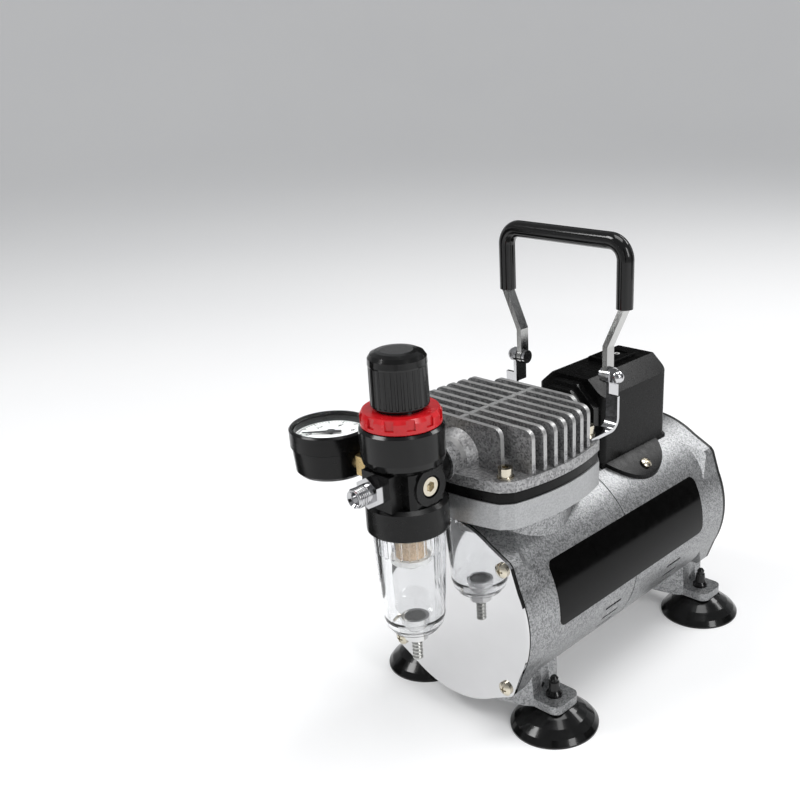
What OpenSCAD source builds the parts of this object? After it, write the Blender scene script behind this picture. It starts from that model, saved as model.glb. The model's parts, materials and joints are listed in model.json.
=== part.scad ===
// Small single-cylinder airbrush compressor with a filter-regulator, on four suction feet.
// Origin: on the floor, under the motor axis, midway between the four feet.
// +X right seen from the front plate, -Y front (regulator), +Y rear (fan), +Z up. Millimetres.

/* [Motor housing] */
// Outside diameter of the motor barrel
barrel_d = 103.2; // [90:0.2:128]
// Height of the barrel's underside above the floor
ground_gap = 13.4; // [12.5:0.1:18]
// Length of the housing in front of the origin
front_len = 96.2; // [92:0.2:120]
// Length of the housing behind the origin
rear_len = 83.7; // [80:0.2:105]
// Distance of the parting seam in front of the origin
seam_gap = 6.5; // [4:0.5:9]
// Wall of the two housing castings
shell_wall = 3.5; // [3:0.1:4.5]
// Reach of the screw ears beyond the barrel
ear_reach = 4; // [3.5:0.1:6]
// Length over which the ears fade into the barrel
ear_len = 15; // [10:0.5:24]
// Thickness of the polished front plate
plate_t = 1.6; // [1:0.1:3]
// Thickness of the gasket behind the front plate
plate_gasket_t = 0.8; // [0.5:0.1:1.5]
// Thickness of the rear fan guard
guard_t = 2.5; // [2:0.1:4]

/* [Feet] */
// Distance between left and right feet
foot_x = 91.8; // [84:0.2:116]
// Distance between front and rear feet
foot_y = 143.2; // [128:0.2:156]
// Diameter of a suction cup
cup_d = 46.2; // [36:0.2:50]
// Thickness of the foot lugs
lug_t = 4.7; // [3.5:0.1:6]
// Width of the foot lugs
lug_w = 19.5; // [16:0.5:24]
// Height of the cup up to the underside of the lug
cup_h = 12.3; // [11:0.1:12.4]

/* [Cylinder and head] */
// Distance of the cylinder axis behind the housing's front face
cyl_back = 39.2; // [38:0.2:44]
// Cylinder bore
bore_d = 41; // [36:0.5:46]
// Crank throw, half of the stroke
throw = 6; // [4.8:0.1:6.4]
// Thickness of the cylinder flange
cyl_flange_t = 13; // [10:0.5:16]
// Thickness of the valve plate
valve_t = 4.8; // [3.5:0.1:6]
// Thickness of the head gasket
head_gasket_t = 1.1; // [0.8:0.1:2]
// Half width of the head at the middle of a side
head_half = 43.2; // [42:0.2:46]
// Height of the head above its gasket
head_h = 27.3; // [24:0.1:34]
// Thickness of the head flange
head_flange_t = 5.5; // [4:0.1:7]
// Number of cooling fins
fins = 9; // [7:2:11]
// Thickness of a fin
fin_t = 2.5; // [1.8:0.1:3]
// Distance of the head bolts from the cylinder axis, each way
bolt_off = 31.5; // [30:0.1:32.5]

/* [Electrical box] */
// Width of the electrical box
box_w = 44; // [40:0.5:50]
// Length of the electrical box
box_l = 62; // [56:0.5:66]
// Height of the box top above the barrel
box_h = 44.4; // [40:0.2:50]
// Wall of the electrical box
box_wall = 2.2; // [1.6:0.1:3]
// Width of the rocker opening
rocker_w = 13; // [11:0.5:15]
// Length of the rocker opening
rocker_l = 19; // [16:0.5:22]

/* [Handle] */
// Distance between the middles of the two grip legs
handle_w = 76; // [70:1:92]
// Height of the grip bar above the fold pivots
handle_h = 68.5; // [64:0.5:84]
// Diameter of the vinyl grip sleeve
grip_d = 8.6; // [8:0.1:9.5]
// Width of the flat steel bar
bar_w = 6; // [5:0.1:6.4]
// Thickness of the flat steel bar
bar_t = 3; // [2.5:0.1:3.4]

/* [Regulator] */
// Diameter of the regulator body
reg_d = 39; // [37:0.5:42]
// Diameter of the adjusting knob
knob_d = 26.6; // [24:0.2:28]
// Height of the adjusting knob
knob_h = 25; // [22:0.5:30]
// Diameter of the pressure gauge
gauge_d = 40; // [36:0.5:44]
// Depth of the gauge case
gauge_h = 23; // [20:0.5:26]
// Length of the clear bowl below the body
bowl_h = 56.5; // [48:0.5:64]
// Outside diameter of the outlet thread, 1/8 inch pipe
outlet_d = 9.7; // [8:0.1:13]
// Length of the outlet thread
outlet_len = 8; // [6:0.5:12]

/* [Hidden] */
$fn = 96;

eps = 0.02;              // overlap of cutting solids past a face
run_gap = 0.05;          // radial clearance of running fits
slide_gap = 0.15;        // clearance of the piston skirt and other sliding parts
move_gap = 0.3;          // clearance between parts that move past each other

barrel_r = barrel_d / 2;
bore_r = barrel_r - shell_wall;          // motor bore of the housing
axis_z = ground_gap + barrel_r;          // motor axis
front_y = -front_len;                    // front face of the casting
seam_y = -seam_gap;
rear_y = rear_len;
plate_y = front_y - plate_gasket_t;      // back of the front plate
guard_y = rear_y + guard_t;              // outer face of the fan guard
ear_a = 42;                              // angle of the ears from the horizontal
ear_span = 19;                           // half angle that an ear covers on the barrel
ear_r = barrel_r + ear_reach;            // tip of an ear
screw_r = barrel_r - 1.9;                // circle of the end screws
end_screw_d = 4;

// Cylinder stack, from the top of the barrel up
cyl_y = front_y + cyl_back;
stack_z = axis_z + barrel_r;             // underside of the cylinder flange
valve_z = stack_z + cyl_flange_t;
gasket_z = valve_z + valve_t;
head_z = gasket_z + head_gasket_t;
flange_z = head_z + head_flange_t;       // top of the head flange
fin_z = head_z + head_h;                 // top of the fins
head_bulge_r = 110;                      // radius of the bowed head sides
head_corner_r = head_half + 7.2;         // round that trims the head corners
notch = bolt_off - 4.3;                  // corner pockets for the bolts start here
fin_pitch = (2 * head_half - 30) / (fins - 1);
block_neck_r = min(head_half - 6.8, cyl_back - 1.5);   // round neck under the cylinder flange
liner_r = bore_d / 2 + 2.5;
bolt_d = 4;

// Crank drive, drawn with the piston at the bottom of its stroke
pin_r = 5;
rod_w = 8;
crown_up = 20.7;                         // crown above the wrist pin
crown_t = 3;
skirt_down = 6;                          // skirt below the wrist pin
head_room = 0.8;                         // piston to valve plate at the top of the stroke
piston_r = bore_d / 2 - slide_gap;
rod_len = valve_z - head_room - crown_up - axis_z - throw;
pin_z = axis_z - throw;                  // crank pin at rest
wrist_z = pin_z + rod_len;
wrist_r = 3;
wrist_len = 23;
disc_y = cyl_y + rod_w / 2 + 0.5;        // front face of the crank disc
disc_t = 6.5;
disc_r = 15;

// Motor
shaft_r = 6;
bearing_r = 16;
bearing_w = 10;
bulk_y = cyl_y + liner_r + 2.5;          // front face of the bearing bulkhead
bulk_t = bearing_w;
stator_y = seam_y + 4.5;
stator_l = 40;
winding_l = 12;
spider_y = stator_y + stator_l + winding_l + 4;
spider_t = bearing_w;
rotor_r = 26;
air_gap = 0.5;
fan_r = bore_r - 6;
fan_y = spider_y + spider_t + 2;
fan_l = rear_y - fan_y - 2;
shaft_y0 = disc_y;
shaft_y1 = fan_y + fan_l - 2;

// Lugs
lug_reach = 9.6;                         // lug beyond the foot's centre
lug_corner = 5;                          // rounded outer corners of a lug
lug_flare = 13;                          // how much wider the lug gets towards the barrel
scoop_r = 7;                             // room round a foot's stem
lug_z = cup_h;
lug_top = cup_h + lug_t;
stem_r = 3.3;
stem_h = 11.3;                           // stem above the lug
lug_hole_r = stem_r + 0.2;

// Electrical box
box_y0 = 1;
box_yc = box_y0 + box_l / 2;
box_top = stack_z + box_h;
box_chamfer_x = 10;
box_chamfer_z = 9;
box_corner = 4;
saddle_t = 2.2;                          // base plate that hugs the barrel
cover_r = barrel_r + saddle_t + 0.05;    // radius that the cover's lower edge follows
box_ear_r = 26;
box_ear_drop = 18;                       // ear below the box side, as an angle
box_ear_a = asin(box_w / 2 / barrel_r);  // box side on the barrel, from the vertical
box_ear_y = box_y0 + 28;                 // middle of an ear along the box
ear_tip_a = box_ear_a + box_ear_drop;     // lowest point of an ear
ear_mid_a = ear_tip_a - asin(box_ear_r / (barrel_r + saddle_t));
ear_screw_a = ear_tip_a - 7.4;
sw_half = 19.5;                          // half width of the switch cap
sw_z = stack_z + 3 + sw_half;
sw_y0 = cyl_y + head_half + 0.8;         // front face of the switch cap
gland_z = stack_z + 21;
gland_hole_r = 3.6;
cap_r = 12.5;
cap_l = 42;
rocker_y = box_y0 + 38.5;
frame_rim = 1.6;
rocker_tilt = 9;                         // rocker lies this much to one side of level
rocker_pivot_z = box_top - 1.7;
frame_h = 2.4;                           // frame above the box top

// Handle
pivot_y = cyl_y + 53;
pivot_z = flange_z + 27;
leg_x = 28.5;                            // middle of a bare leg at the pivot
pivot_r = 2.5;
pivot_hole_r = pivot_r + run_gap;
knee_up = 15.5;                          // knee above the pivot
sleeve_up = 36;                          // lower end of the sleeve above the pivot
bend_r = 9;                              // bend of the bar's middle line
strap_t = 1.8;
strap_bend = 5;
strap_x0 = leg_x + bar_t / 2 + 0.2;      // inner face of a bracket ear
strap_w = 7.2;
strap_y = pivot_y - 2;                   // rear face of the upright strap

// Regulator, on its own vertical axis
reg_r = reg_d / 2;
reg_y = cyl_y - head_half - 2.3 - reg_r;
port_z = head_z + 9;
collar_z0 = port_z - 24.5;               // lower end of the body collar
collar_z1 = port_z - 9.5;
mid_r = 17.5;                            // round part of the body's middle
flat_x = 15.5;                           // flats of the middle at the side ports
flat_y = 11;                             // flat of the middle at the outlet
gauge_boss = 19;                         // end of the boss for the gauge stem
bonnet_z0 = port_z + 7.5;
bonnet_z1 = port_z + 26.5;
neck_r = 11;
ring_z0 = bonnet_z1 + move_gap;
ring_h = 7.2;
ring_r = reg_r - 1;
knob_z0 = ring_z0 + ring_h + 1.5;
knob_z1 = knob_z0 + knob_h;
knob_r = knob_d / 2;
neck_top = knob_z0 + 8;
flutes = 30;
block_half = 9;
block_y = reg_y - 18;
port_r = 3;
inlet_r = 9;
inlet_y = reg_y + mid_r + 1;                  // end of the inlet boss
hex_l = 5.5;
outlet_r = outlet_d / 2;
outlet_y = block_y - hex_l;              // shoulder of the outlet thread

// Gauge
gauge_r = gauge_d / 2;
gauge_x = -(gauge_r + 31);
gauge_z0 = port_z - 8.8;
gauge_z1 = gauge_z0 + gauge_h;
gauge_wall = 1.7;
dial_z = gauge_z1 - 6;
dial_t = 0.6;
lens_z = gauge_z1 - 2.4;
lens_t = 1.2;
needle_z = dial_z + dial_t + 0.8;

// Bowl and drain
bowl_r = reg_r - 2;
bowl_low_r = bowl_r - 2.5;
bowl_wall = 1.8;
bowl_z0 = collar_z0 - bowl_h;            // underside of the bowl
bowl_spigot = 9;                         // how far the bowl goes up into the body
filter_r = 7;
filter_z0 = collar_z0 - 14.7;
drain_hole_r = 3;
drain_cap_r = 5.2;                       // dark cap in the drain cup
drain_seat_t = 3.4;
nut_h = 4.5;
drain_travel = 1.5;
nipple_top = bowl_z0 - nut_h - drain_travel - 0.5;
nipple_l = 10.5;

// Solid of revolution about the Y axis at the motor axis, from y0 to y1
module rod_y(r, y0, y1, z = axis_z, x = 0) {
    translate([x, y0, z]) rotate([-90, 0, 0]) cylinder(r = r, h = y1 - y0);
}

module tube_y(r_out, r_in, y0, y1, z = axis_z, x = 0) {
    difference() {
        rod_y(r_out, y0, y1, z, x);
        rod_y(r_in, y0 - eps, y1 + eps, z, x);
    }
}

// Extrude a 2D outline, drawn in X and Z, along Y from y0 to y1
module along_y(y0, y1) {
    translate([0, y1, 0]) rotate([90, 0, 0]) linear_extrude(y1 - y0) children();
}

module box_at(x0, x1, y0, y1, z0, z1) {
    translate([x0, y0, z0]) cube([x1 - x0, y1 - y0, z1 - z0]);
}

// Outline of both ends of the housing: the barrel with four screw ears
module end_outline() {
    translate([0, axis_z]) {
        circle(r = barrel_r);
        for (side = [-1, 1], up = [-1, 1])
            polygon([
                [0, 0],
                [side * (barrel_r - 0.3) * cos(ear_a - ear_span), up * (barrel_r - 0.3) * sin(ear_a - ear_span)],
                [side * (ear_r * cos(ear_a) + 0.6), up * (ear_r * sin(ear_a) - 2)],
                [side * (ear_r * cos(ear_a) - 1.2), up * ear_r * sin(ear_a)],
                [side * (barrel_r - 0.3) * cos(ear_a + ear_span), up * (barrel_r - 0.3) * sin(ear_a + ear_span)]
            ]);
    }
}

// Ears that fade from an end face at y_end towards the barrel; dir is +1 for the rear end
module end_ears(y_end, dir) {
    lip = 3;
    y_fade = y_end - dir * ear_len;
    for (a = [ear_a, 180 - ear_a, 180 + ear_a, -ear_a])
        intersection() {
            along_y(min(y_end, y_fade), max(y_end, y_fade)) end_outline();
            translate([0, 0, axis_z]) rotate([0, -a, 0])
                translate([0, 0, -barrel_r / 2]) linear_extrude(barrel_r)
                    polygon([
                        [barrel_r - 12, y_end], [ear_r + 1, y_end], [ear_r + 1, y_end - dir * lip],
                        [barrel_r - 1.5, y_fade], [barrel_r - 12, y_fade]
                    ]);
        }
}

module end_screw_places(r = screw_r) {
    for (a = [ear_a, 180 - ear_a, 180 + ear_a, -ear_a])
        translate([r * cos(a), 0, axis_z + r * sin(a)]) children();
}

// Foot lug that widens and rises towards the barrel, on the side given by side = -1 or 1
module lug(side, y) {
    x_tip = foot_x / 2 + lug_reach;
    x_wall = foot_x / 2 - stem_r - 2.4;
    x_in = barrel_r * 0.36;
    half = lug_w / 2;
    mirror([side < 0 ? 1 : 0, 0, 0]) difference() {
        union() {
            // flat lug
            translate([0, y, lug_z]) linear_extrude(lug_t) union() {
                translate([x_wall - 6, -half]) square([x_tip - lug_corner - x_wall + 6, 2 * half]);
                translate([x_wall, -half + lug_corner])
                    square([x_tip - x_wall, 2 * (half - lug_corner)]);
                for (dy = [-1, 1])
                    translate([x_tip - lug_corner, dy * (half - lug_corner)]) circle(r = lug_corner);
            }
            // rising web between the lug and the barrel, wider at the barrel
            intersection() {
                along_y(y - half - lug_flare - 2, y + half + lug_flare + 2) polygon([
                    [x_in, lug_z + 4], [x_wall - 5, lug_z], [x_wall, lug_z], [x_wall, lug_top],
                    [barrel_r * 0.76, axis_z - barrel_r * 0.62], [x_in, axis_z - barrel_r * 0.8]
                ]);
                translate([0, y, 0]) linear_extrude(axis_z) polygon([
                    [x_in, -half - lug_flare], [x_wall, -half], [x_wall, half], [x_in, half + lug_flare]
                ]);
                box_at(-5, 100, front_y, rear_y, 0, axis_z);
            }
        }
        translate([foot_x / 2, y, lug_z - 1]) cylinder(r = lug_hole_r, h = lug_t + 2);
        translate([foot_x / 2, y, lug_top]) cylinder(r = scoop_r, h = 40);
        // hollow beside the stem
        translate([x_wall - 5, y - 1, lug_top + 3.2]) rotate([0, 90, 0]) cylinder(r = 1.6, h = 8);
    }
}

// Rows of vent slots in the lower flanks of a casting, from y0 to y1
module vent_slots(y0, y1) {
    for (side = [0, 180], a = [-17, -25, -33])
        translate([0, 0, axis_z]) rotate([0, side == 0 ? -a : 180 + a, 0])
            translate([bore_r - 3, y0, -0.8]) cube([shell_wall + 8, y1 - y0, 1.6]);
}

module crankcase() color("silver") {
    difference() {
        union() {
            rod_y(barrel_r, front_y, seam_y);
            end_ears(front_y, -1);
            for (side = [-1, 1]) lug(side, -foot_y / 2);
            translate([0, cyl_y, axis_z]) cylinder(r = block_neck_r, h = stack_z - axis_z);
        }
        // crank chamber and motor bore, with the bearing bulkhead between them
        difference() {
            union() {
                rod_y(bore_r - 1, front_y - eps, bulk_y);
                rod_y(bore_r, bulk_y + bulk_t, seam_y + eps);
            }
            for (a = [ear_a, 180 - ear_a, 180 + ear_a, -ear_a])
                rod_y(5.5, front_y, front_y + 14, axis_z + screw_r * sin(a), screw_r * cos(a));
        }
        rod_y(bearing_r, bulk_y - eps, bulk_y + bulk_t + eps);
        // opening for the cylinder liner
        translate([0, cyl_y, axis_z]) cylinder(r = liner_r + 0.1, h = barrel_r + 5);
        for (a = [ear_a, 180 - ear_a, 180 + ear_a, -ear_a])
            rod_y(end_screw_d / 2, front_y - 1, front_y + 10, axis_z + screw_r * sin(a),
                screw_r * cos(a));
        vent_slots(-32, -18);
        box_screw_holes();
        // fine groove along the parting seam
        tube_y(barrel_r + 1, barrel_r - 0.4, seam_y - 0.8, seam_y + eps);
    }
}

module motor_shell() color("silver") {
    difference() {
        union() {
            rod_y(barrel_r, seam_y, rear_y);
            end_ears(rear_y, 1);
            for (side = [-1, 1]) lug(side, foot_y / 2);
        }
        difference() {
            rod_y(bore_r, seam_y - eps, rear_y + eps);
            for (a = [ear_a, 180 - ear_a, 180 + ear_a, -ear_a])
                rod_y(5.5, rear_y - 14, rear_y, axis_z + screw_r * sin(a), screw_r * cos(a));
            // spider that carries the rear bearing
            tube_y(bearing_r + 4, bearing_r, spider_y, spider_y + spider_t);
            for (a = [0, 120, 240])
                translate([0, spider_y, axis_z]) rotate([0, a + 90, 0])
                    translate([bearing_r + 2, 0, -4]) cube([bore_r - bearing_r, spider_t, 8]);
        }
        for (a = [ear_a, 180 - ear_a, 180 + ear_a, -ear_a])
            rod_y(end_screw_d / 2, rear_y - 10, rear_y + 1, axis_z + screw_r * sin(a),
                screw_r * cos(a));
        vent_slots(27, 41);
        box_screw_holes();
    }
}

module front_gasket() color("#2a2a2a")
    difference() {
        along_y(plate_y, front_y) end_outline();
        rod_y(bore_r - 7, plate_y - 1, front_y + 1);
        end_screw_places() rotate([90, 0, 0]) cylinder(r = end_screw_d / 2, h = 300, center = true);
    }

module front_plate() color("#d8d8d8")
    difference() {
        along_y(plate_y - plate_t, plate_y) end_outline();
        end_screw_places() rotate([90, 0, 0]) cylinder(r = end_screw_d / 2, h = 300, center = true);
    }

// One domed screw along Y with its head's seat at y = 0, head towards -Y
module domed_screw(len) {
    translate([0, 0, 0]) rotate([90, 0, 0]) {
        difference() {
            intersection() {
                cylinder(r = 3.8, h = 2.6);
                translate([0, 0, -2.9]) sphere(r = 5.5);
            }
            translate([0, 0, 1.4]) for (t = [0, 90]) rotate([0, 0, t])
                translate([-1.9, -0.4, 0]) cube([3.8, 0.8, 3]);
        }
        translate([0, 0, -len]) cylinder(r = end_screw_d / 2, h = len + eps);
    }
}

module end_screws() color("silver") {
    end_screw_places() translate([0, plate_y - plate_t, 0])
        domed_screw(plate_t + plate_gasket_t + 9);
    end_screw_places() translate([0, guard_y, 0]) rotate([0, 0, 180]) domed_screw(guard_t + 9);
}

// Black fan guard: hub, two rings and radial vanes across the opening
module rear_guard() color("#1c1c1c") {
    vanes = 24;
    hub_r = 15;
    open_r = bore_r - 4.5;
    difference() {
        along_y(rear_y, guard_y) union() {
            difference() {
                end_outline();
                translate([0, axis_z]) circle(r = open_r);
            }
            translate([0, axis_z]) {
                circle(r = hub_r);
                difference() {
                    circle(r = hub_r + 15.2);
                    circle(r = hub_r + 13.2);
                }
                for (k = [0:vanes - 1]) rotate(k * 360 / vanes)
                    translate([hub_r - 1, -0.8]) square([open_r - hub_r + 2, 1.6]);
            }
        }
        end_screw_places() rotate([90, 0, 0]) cylinder(r = end_screw_d / 2, h = 300, center = true);
        rod_y(hub_r - 4, guard_y - 0.8, guard_y + 1);
    }
}

// Suction cup with its stem pushed up through the lug
module suction_foot(x, y) color("#161616") translate([x, y, 0])
    rotate_extrude() polygon([
        [cup_d / 2 - 3.4, 0], [cup_d / 2, 0], [cup_d / 2, 1],
        [cup_d / 2 - 2.2, 3.8], [cup_d / 2 - 6.2, 7.2], [cup_d / 2 - 10.5, 10],
        [9, cup_h - 0.6], [6.5, cup_h], [stem_r, cup_h], [stem_r, lug_top],
        [stem_r + 1.1, lug_top], [stem_r + 1, lug_top + 1.4], [stem_r - 0.2, lug_top + 3],
        [stem_r - 0.7, lug_top + stem_h - 3.4], [stem_r - 1.3, lug_top + stem_h - 2.9],
        [stem_r - 1.1, lug_top + stem_h - 1.2], [stem_r - 2, lug_top + stem_h], [0, lug_top + stem_h],
        [0, 6.5], [6, 5.8], [12, 3.6]
    ]);

module foot_front_left() suction_foot(-foot_x / 2, -foot_y / 2);
module foot_front_right() suction_foot(foot_x / 2, -foot_y / 2);
module foot_rear_left() suction_foot(-foot_x / 2, foot_y / 2);
module foot_rear_right() suction_foot(foot_x / 2, foot_y / 2);

// Plain black film on the right flank of the barrel
module side_label() color("#0a0a0a") {
    film_t = 0.25;
    low_a = -5.5;
    high_a = 33.8;
    z0 = axis_z + barrel_r * sin(low_a);
    z1 = axis_z + barrel_r * sin(high_a);
    y0 = front_y + 23;
    y1 = rear_y - 23.5;
    c = 4;
    intersection() {
        difference() {
            rod_y(barrel_r + film_t, y0, y1);
            rod_y(barrel_r, y0 - 1, y1 + 1);
        }
        union() {
            box_at(10, barrel_r + 5, y0 + c, y1 - c, z0, z1);
            box_at(10, barrel_r + 5, y0, y1, z0 + c, z1 - c);
            for (y = [y0 + c, y1 - c], z = [z0 + c, z1 - c])
                translate([10, y, z]) rotate([0, 90, 0]) cylinder(r = c, h = barrel_r);
        }
    }
}

module stator_core() color("#6d6a66")
    difference() {
        rod_y(bore_r, stator_y, stator_y + stator_l);
        rod_y(rotor_r + air_gap, stator_y - 1, stator_y + stator_l + 1);
        for (k = [0:23])
            translate([0, stator_y - 1, axis_z]) rotate([0, k * 15, 0])
                translate([rotor_r + 3, 0, -1.8]) cube([11, stator_l + 2, 3.6]);
    }

module stator_windings() color("#b5672b")
    for (y0 = [stator_y - winding_l, stator_y + stator_l])
        difference() {
            rod_y(bore_r - 4, y0, y0 + winding_l);
            rod_y(rotor_r + 3, y0 - 1, y0 + winding_l + 1);
        }

module rotor_core() color("#8d8f92")
    difference() {
        rod_y(rotor_r, stator_y, stator_y + stator_l);
        rod_y(shaft_r, stator_y - 1, stator_y + stator_l + 1);
    }

module motor_shaft() color("#c4c6c8") rod_y(shaft_r, shaft_y0 + disc_t, shaft_y1);

module bearing(y0) {
    difference() {
        rod_y(bearing_r, y0, y0 + bearing_w);
        rod_y(shaft_r + run_gap, y0 - 1, y0 + bearing_w + 1);
        // shield grooves on both faces
        tube_y(bearing_r - 2.5, shaft_r + 2.5, y0 - 1, y0 + 0.6);
        tube_y(bearing_r - 2.5, shaft_r + 2.5, y0 + bearing_w - 0.6, y0 + bearing_w + 1);
    }
}

module front_bearing() color("#b9bcc0") bearing(bulk_y);
module rear_bearing() color("#b9bcc0") bearing(spider_y);

module cooling_fan() color("#2c2c2c") {
    blades = 8;
    difference() {
        union() {
            rod_y(11, fan_y, fan_y + fan_l - 4);
            for (k = [0:blades - 1])
                translate([0, fan_y, axis_z]) rotate([0, k * 360 / blades, 0])
                    rotate([28, 0, 0]) translate([9, 0, -0.9])
                        cube([fan_r - 9, fan_l - 5, 1.8]);
        }
        rod_y(shaft_r, fan_y - 1, shaft_y1);
    }
}

// Crank disc with its pin, and a counterweight opposite the pin
module crank() color("#77797c") {
    rod_y(disc_r, disc_y, disc_y + disc_t);
    rod_y(pin_r, cyl_y - rod_w / 2 - 1.5, disc_y + eps, pin_z);
    intersection() {
        rod_y(disc_r + 5, disc_y, disc_y + disc_t);
        box_at(-16, 16, disc_y - 1, disc_y + disc_t + 1, axis_z + 4, axis_z + disc_r + 6);
    }
}

module connecting_rod() color("#9a9da1")
    difference() {
        union() {
            rod_y(pin_r + 4.5, cyl_y - rod_w / 2, cyl_y + rod_w / 2, pin_z);
            rod_y(wrist_r + 2.2, cyl_y - rod_w / 2, cyl_y + rod_w / 2, wrist_z);
            box_at(-3.5, 3.5, cyl_y - 2.5, cyl_y + 2.5, pin_z + pin_r + 2, wrist_z - wrist_r - 1);
        }
        rod_y(pin_r + run_gap, cyl_y - rod_w, cyl_y + rod_w, pin_z);
        rod_y(wrist_r, cyl_y - rod_w, cyl_y + rod_w, wrist_z);
    }

module wrist_pin() color("#c4c6c8")
    rod_y(wrist_r, cyl_y - wrist_len / 2, cyl_y + wrist_len / 2, wrist_z);

// Hollow piston with a groove for its ring
module piston() color("#b8babd") translate([0, cyl_y, wrist_z])
    difference() {
        translate([0, 0, -skirt_down]) cylinder(r = piston_r, h = crown_up + skirt_down);
        translate([0, 0, -skirt_down - 1])
            cylinder(r = piston_r - 3.2, h = crown_up + skirt_down - crown_t + 1);
        translate([0, 0, crown_up - 7]) difference() {
            cylinder(r = piston_r + 1, h = 3);
            translate([0, 0, -1]) cylinder(r = piston_r - 1.8, h = 5);
        }
    }

module piston_ring() color("#efeee6") translate([0, cyl_y, wrist_z + crown_up - 7])
    difference() {
        cylinder(r = bore_d / 2 - run_gap, h = 3);
        translate([0, 0, -1]) cylinder(r = piston_r - 1.8, h = 5);
    }

// Plan of the cylinder stack: a square with bowed sides and trimmed corners
module stack_plan(half, corner_r) {
    intersection() {
        circle(r = corner_r);
        for_sides(half, 0);
        for_sides(half, 90);
    }
}

module for_sides(half, turn) rotate(turn) intersection() {
    translate([head_bulge_r - half, 0]) circle(r = head_bulge_r, $fn = 128);
    translate([half - head_bulge_r, 0]) circle(r = head_bulge_r, $fn = 128);
}

module stack_layer(z0, z1, inset = 0) translate([0, cyl_y, z0])
    linear_extrude(z1 - z0) stack_plan(head_half - inset, head_corner_r - inset);

module head_bolt_places() for (dx = [-1, 1], dy = [-1, 1])
    translate([dx * bolt_off, cyl_y + dy * bolt_off, 0]) children();

module bolt_holes(z0, z1) head_bolt_places()
    translate([0, 0, z0]) cylinder(r = bolt_d / 2, h = z1 - z0);

// Cylinder: flange on the crankcase neck, and the liner below it
module cylinder_block() color("#b9b9b6")
    difference() {
        union() {
            stack_layer(stack_z, valve_z);
            translate([0, cyl_y, stack_z - 19.6]) cylinder(r = liner_r, h = 20);
        }
        translate([0, cyl_y, stack_z - 60]) cylinder(r = bore_d / 2, h = 100);
        bolt_holes(stack_z + 1.5, valve_z + 1);
        // weight-saving pockets in the underside
        for (a = [0:90:270]) translate([0, cyl_y, stack_z - 1]) rotate(a)
            translate([liner_r + 3, -9, 0]) cube([block_neck_r - liner_r - 6, 18, cyl_flange_t - 4]);
    }

module valve_plate() color("#1b1b1d")
    difference() {
        stack_layer(valve_z, gasket_z, 0.8);
        bolt_holes(valve_z - 1, gasket_z + 1);
        // port pairs through the plate and the intake reed's recess below it
        for (dx = [-1, 1], dy = [-1, 1]) translate([dx * 10, cyl_y + dy * 4, valve_z - 1])
            cylinder(r = 2, h = valve_t + 2);
        box_at(-15, -5, cyl_y - 9, cyl_y + 9, valve_z - 1, valve_z + 0.6);
    }

module head_gasket() color("#141414")
    difference() {
        stack_layer(gasket_z, head_z, 0.8);
        bolt_holes(gasket_z - 1, head_z + 1);
        box_at(-24, -2, cyl_y - 20, cyl_y + 20, gasket_z - 1, head_z + 1);
        box_at(2, 24, cyl_y - 20, cyl_y + 20, gasket_z - 1, head_z + 1);
    }

// Spring-steel flaps: intake under the plate, delivery on top of it
module reed_valves() color("#aab0b6") {
    box_at(-14.5, -5.5, cyl_y - 8.5, cyl_y + 8.5, valve_z + 0.3, valve_z + 0.6);
    box_at(5.5, 14.5, cyl_y - 8.5, cyl_y + 8.5, gasket_z, gasket_z + 0.3);
}

// Finned head with corner pockets for the bolts and a boss for the outlet pipe
module fin_outline(half) {
    c = min(4.5, half / 3);
    translate([-half, flange_z - 1]) square([2 * half, fin_z - flange_z + 1 - c]);
    translate([-half + c, flange_z - 1]) square([2 * (half - c), fin_z - flange_z + 1]);
    for (dir = [-1, 1]) translate([dir * (half - c), fin_z - c]) circle(r = c);
}

function plan_half(dy) = head_half - head_bulge_r + sqrt(head_bulge_r * head_bulge_r - dy * dy);

module cylinder_head() color("#8b8b8d") {
    boss_r = 10;
    core_half = 27;
    last = (fins - 1) / 2;
    difference() {
        union() {
            stack_layer(head_z, flange_z);
            for (k = [-last:last]) {
                dy = k * fin_pitch;
                half = abs(dy) + fin_t / 2 > notch ? notch : plan_half(abs(dy) + fin_t / 2) - 0.8;
                along_y(cyl_y + dy - fin_t / 2, cyl_y + dy + fin_t / 2) fin_outline(half);
            }
            // core between the fins and the middle rib on top of it
            box_at(-core_half, core_half, cyl_y - last * fin_pitch, cyl_y + last * fin_pitch,
                flange_z - 1, flange_z + 5);
            box_at(-1.4, 1.4, cyl_y - last * fin_pitch, cyl_y + last * fin_pitch,
                flange_z, fin_z - 0.2);
            // delivery boss at the front, pressure switch boss at the rear
            rod_y(boss_r, cyl_y - head_half - 0.6, cyl_y - 20, port_z);
            translate([0, cyl_y - last * fin_pitch, port_z]) rotate([90, 0, 0])
                cylinder(r1 = boss_r + 4, r2 = boss_r, h = 6);
            rod_y(8, cyl_y + 20, cyl_y + head_half - 3, port_z);
        }
        // the bosses stand clear of the layers below the flange
        box_at(-30, 30, cyl_y - 60, cyl_y + 60, head_z - 40, head_z);
        // intake and delivery chambers
        box_at(-24, -2, cyl_y - 20, cyl_y + 20, head_z - 1, head_z + 7);
        box_at(2, 24, cyl_y - 20, cyl_y + 20, head_z - 1, head_z + 7);
        rod_y(port_r, cyl_y - head_half - 2, cyl_y - 19, port_z, 0);
        box_at(-port_r, 8, cyl_y - 24, cyl_y - 19, head_z + 3, port_z);
        rod_y(port_r, cyl_y + 19, cyl_y + head_half, port_z, 0);
        box_at(-port_r, 8, cyl_y + 19, cyl_y + 24, head_z + 3, port_z);
        // air intake on the left flank
        translate([-60, cyl_y, head_z + 3.4]) rotate([0, 90, 0]) cylinder(r = 1.7, h = 37);
        bolt_holes(head_z - 1, flange_z + 1);
    }
}

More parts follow.
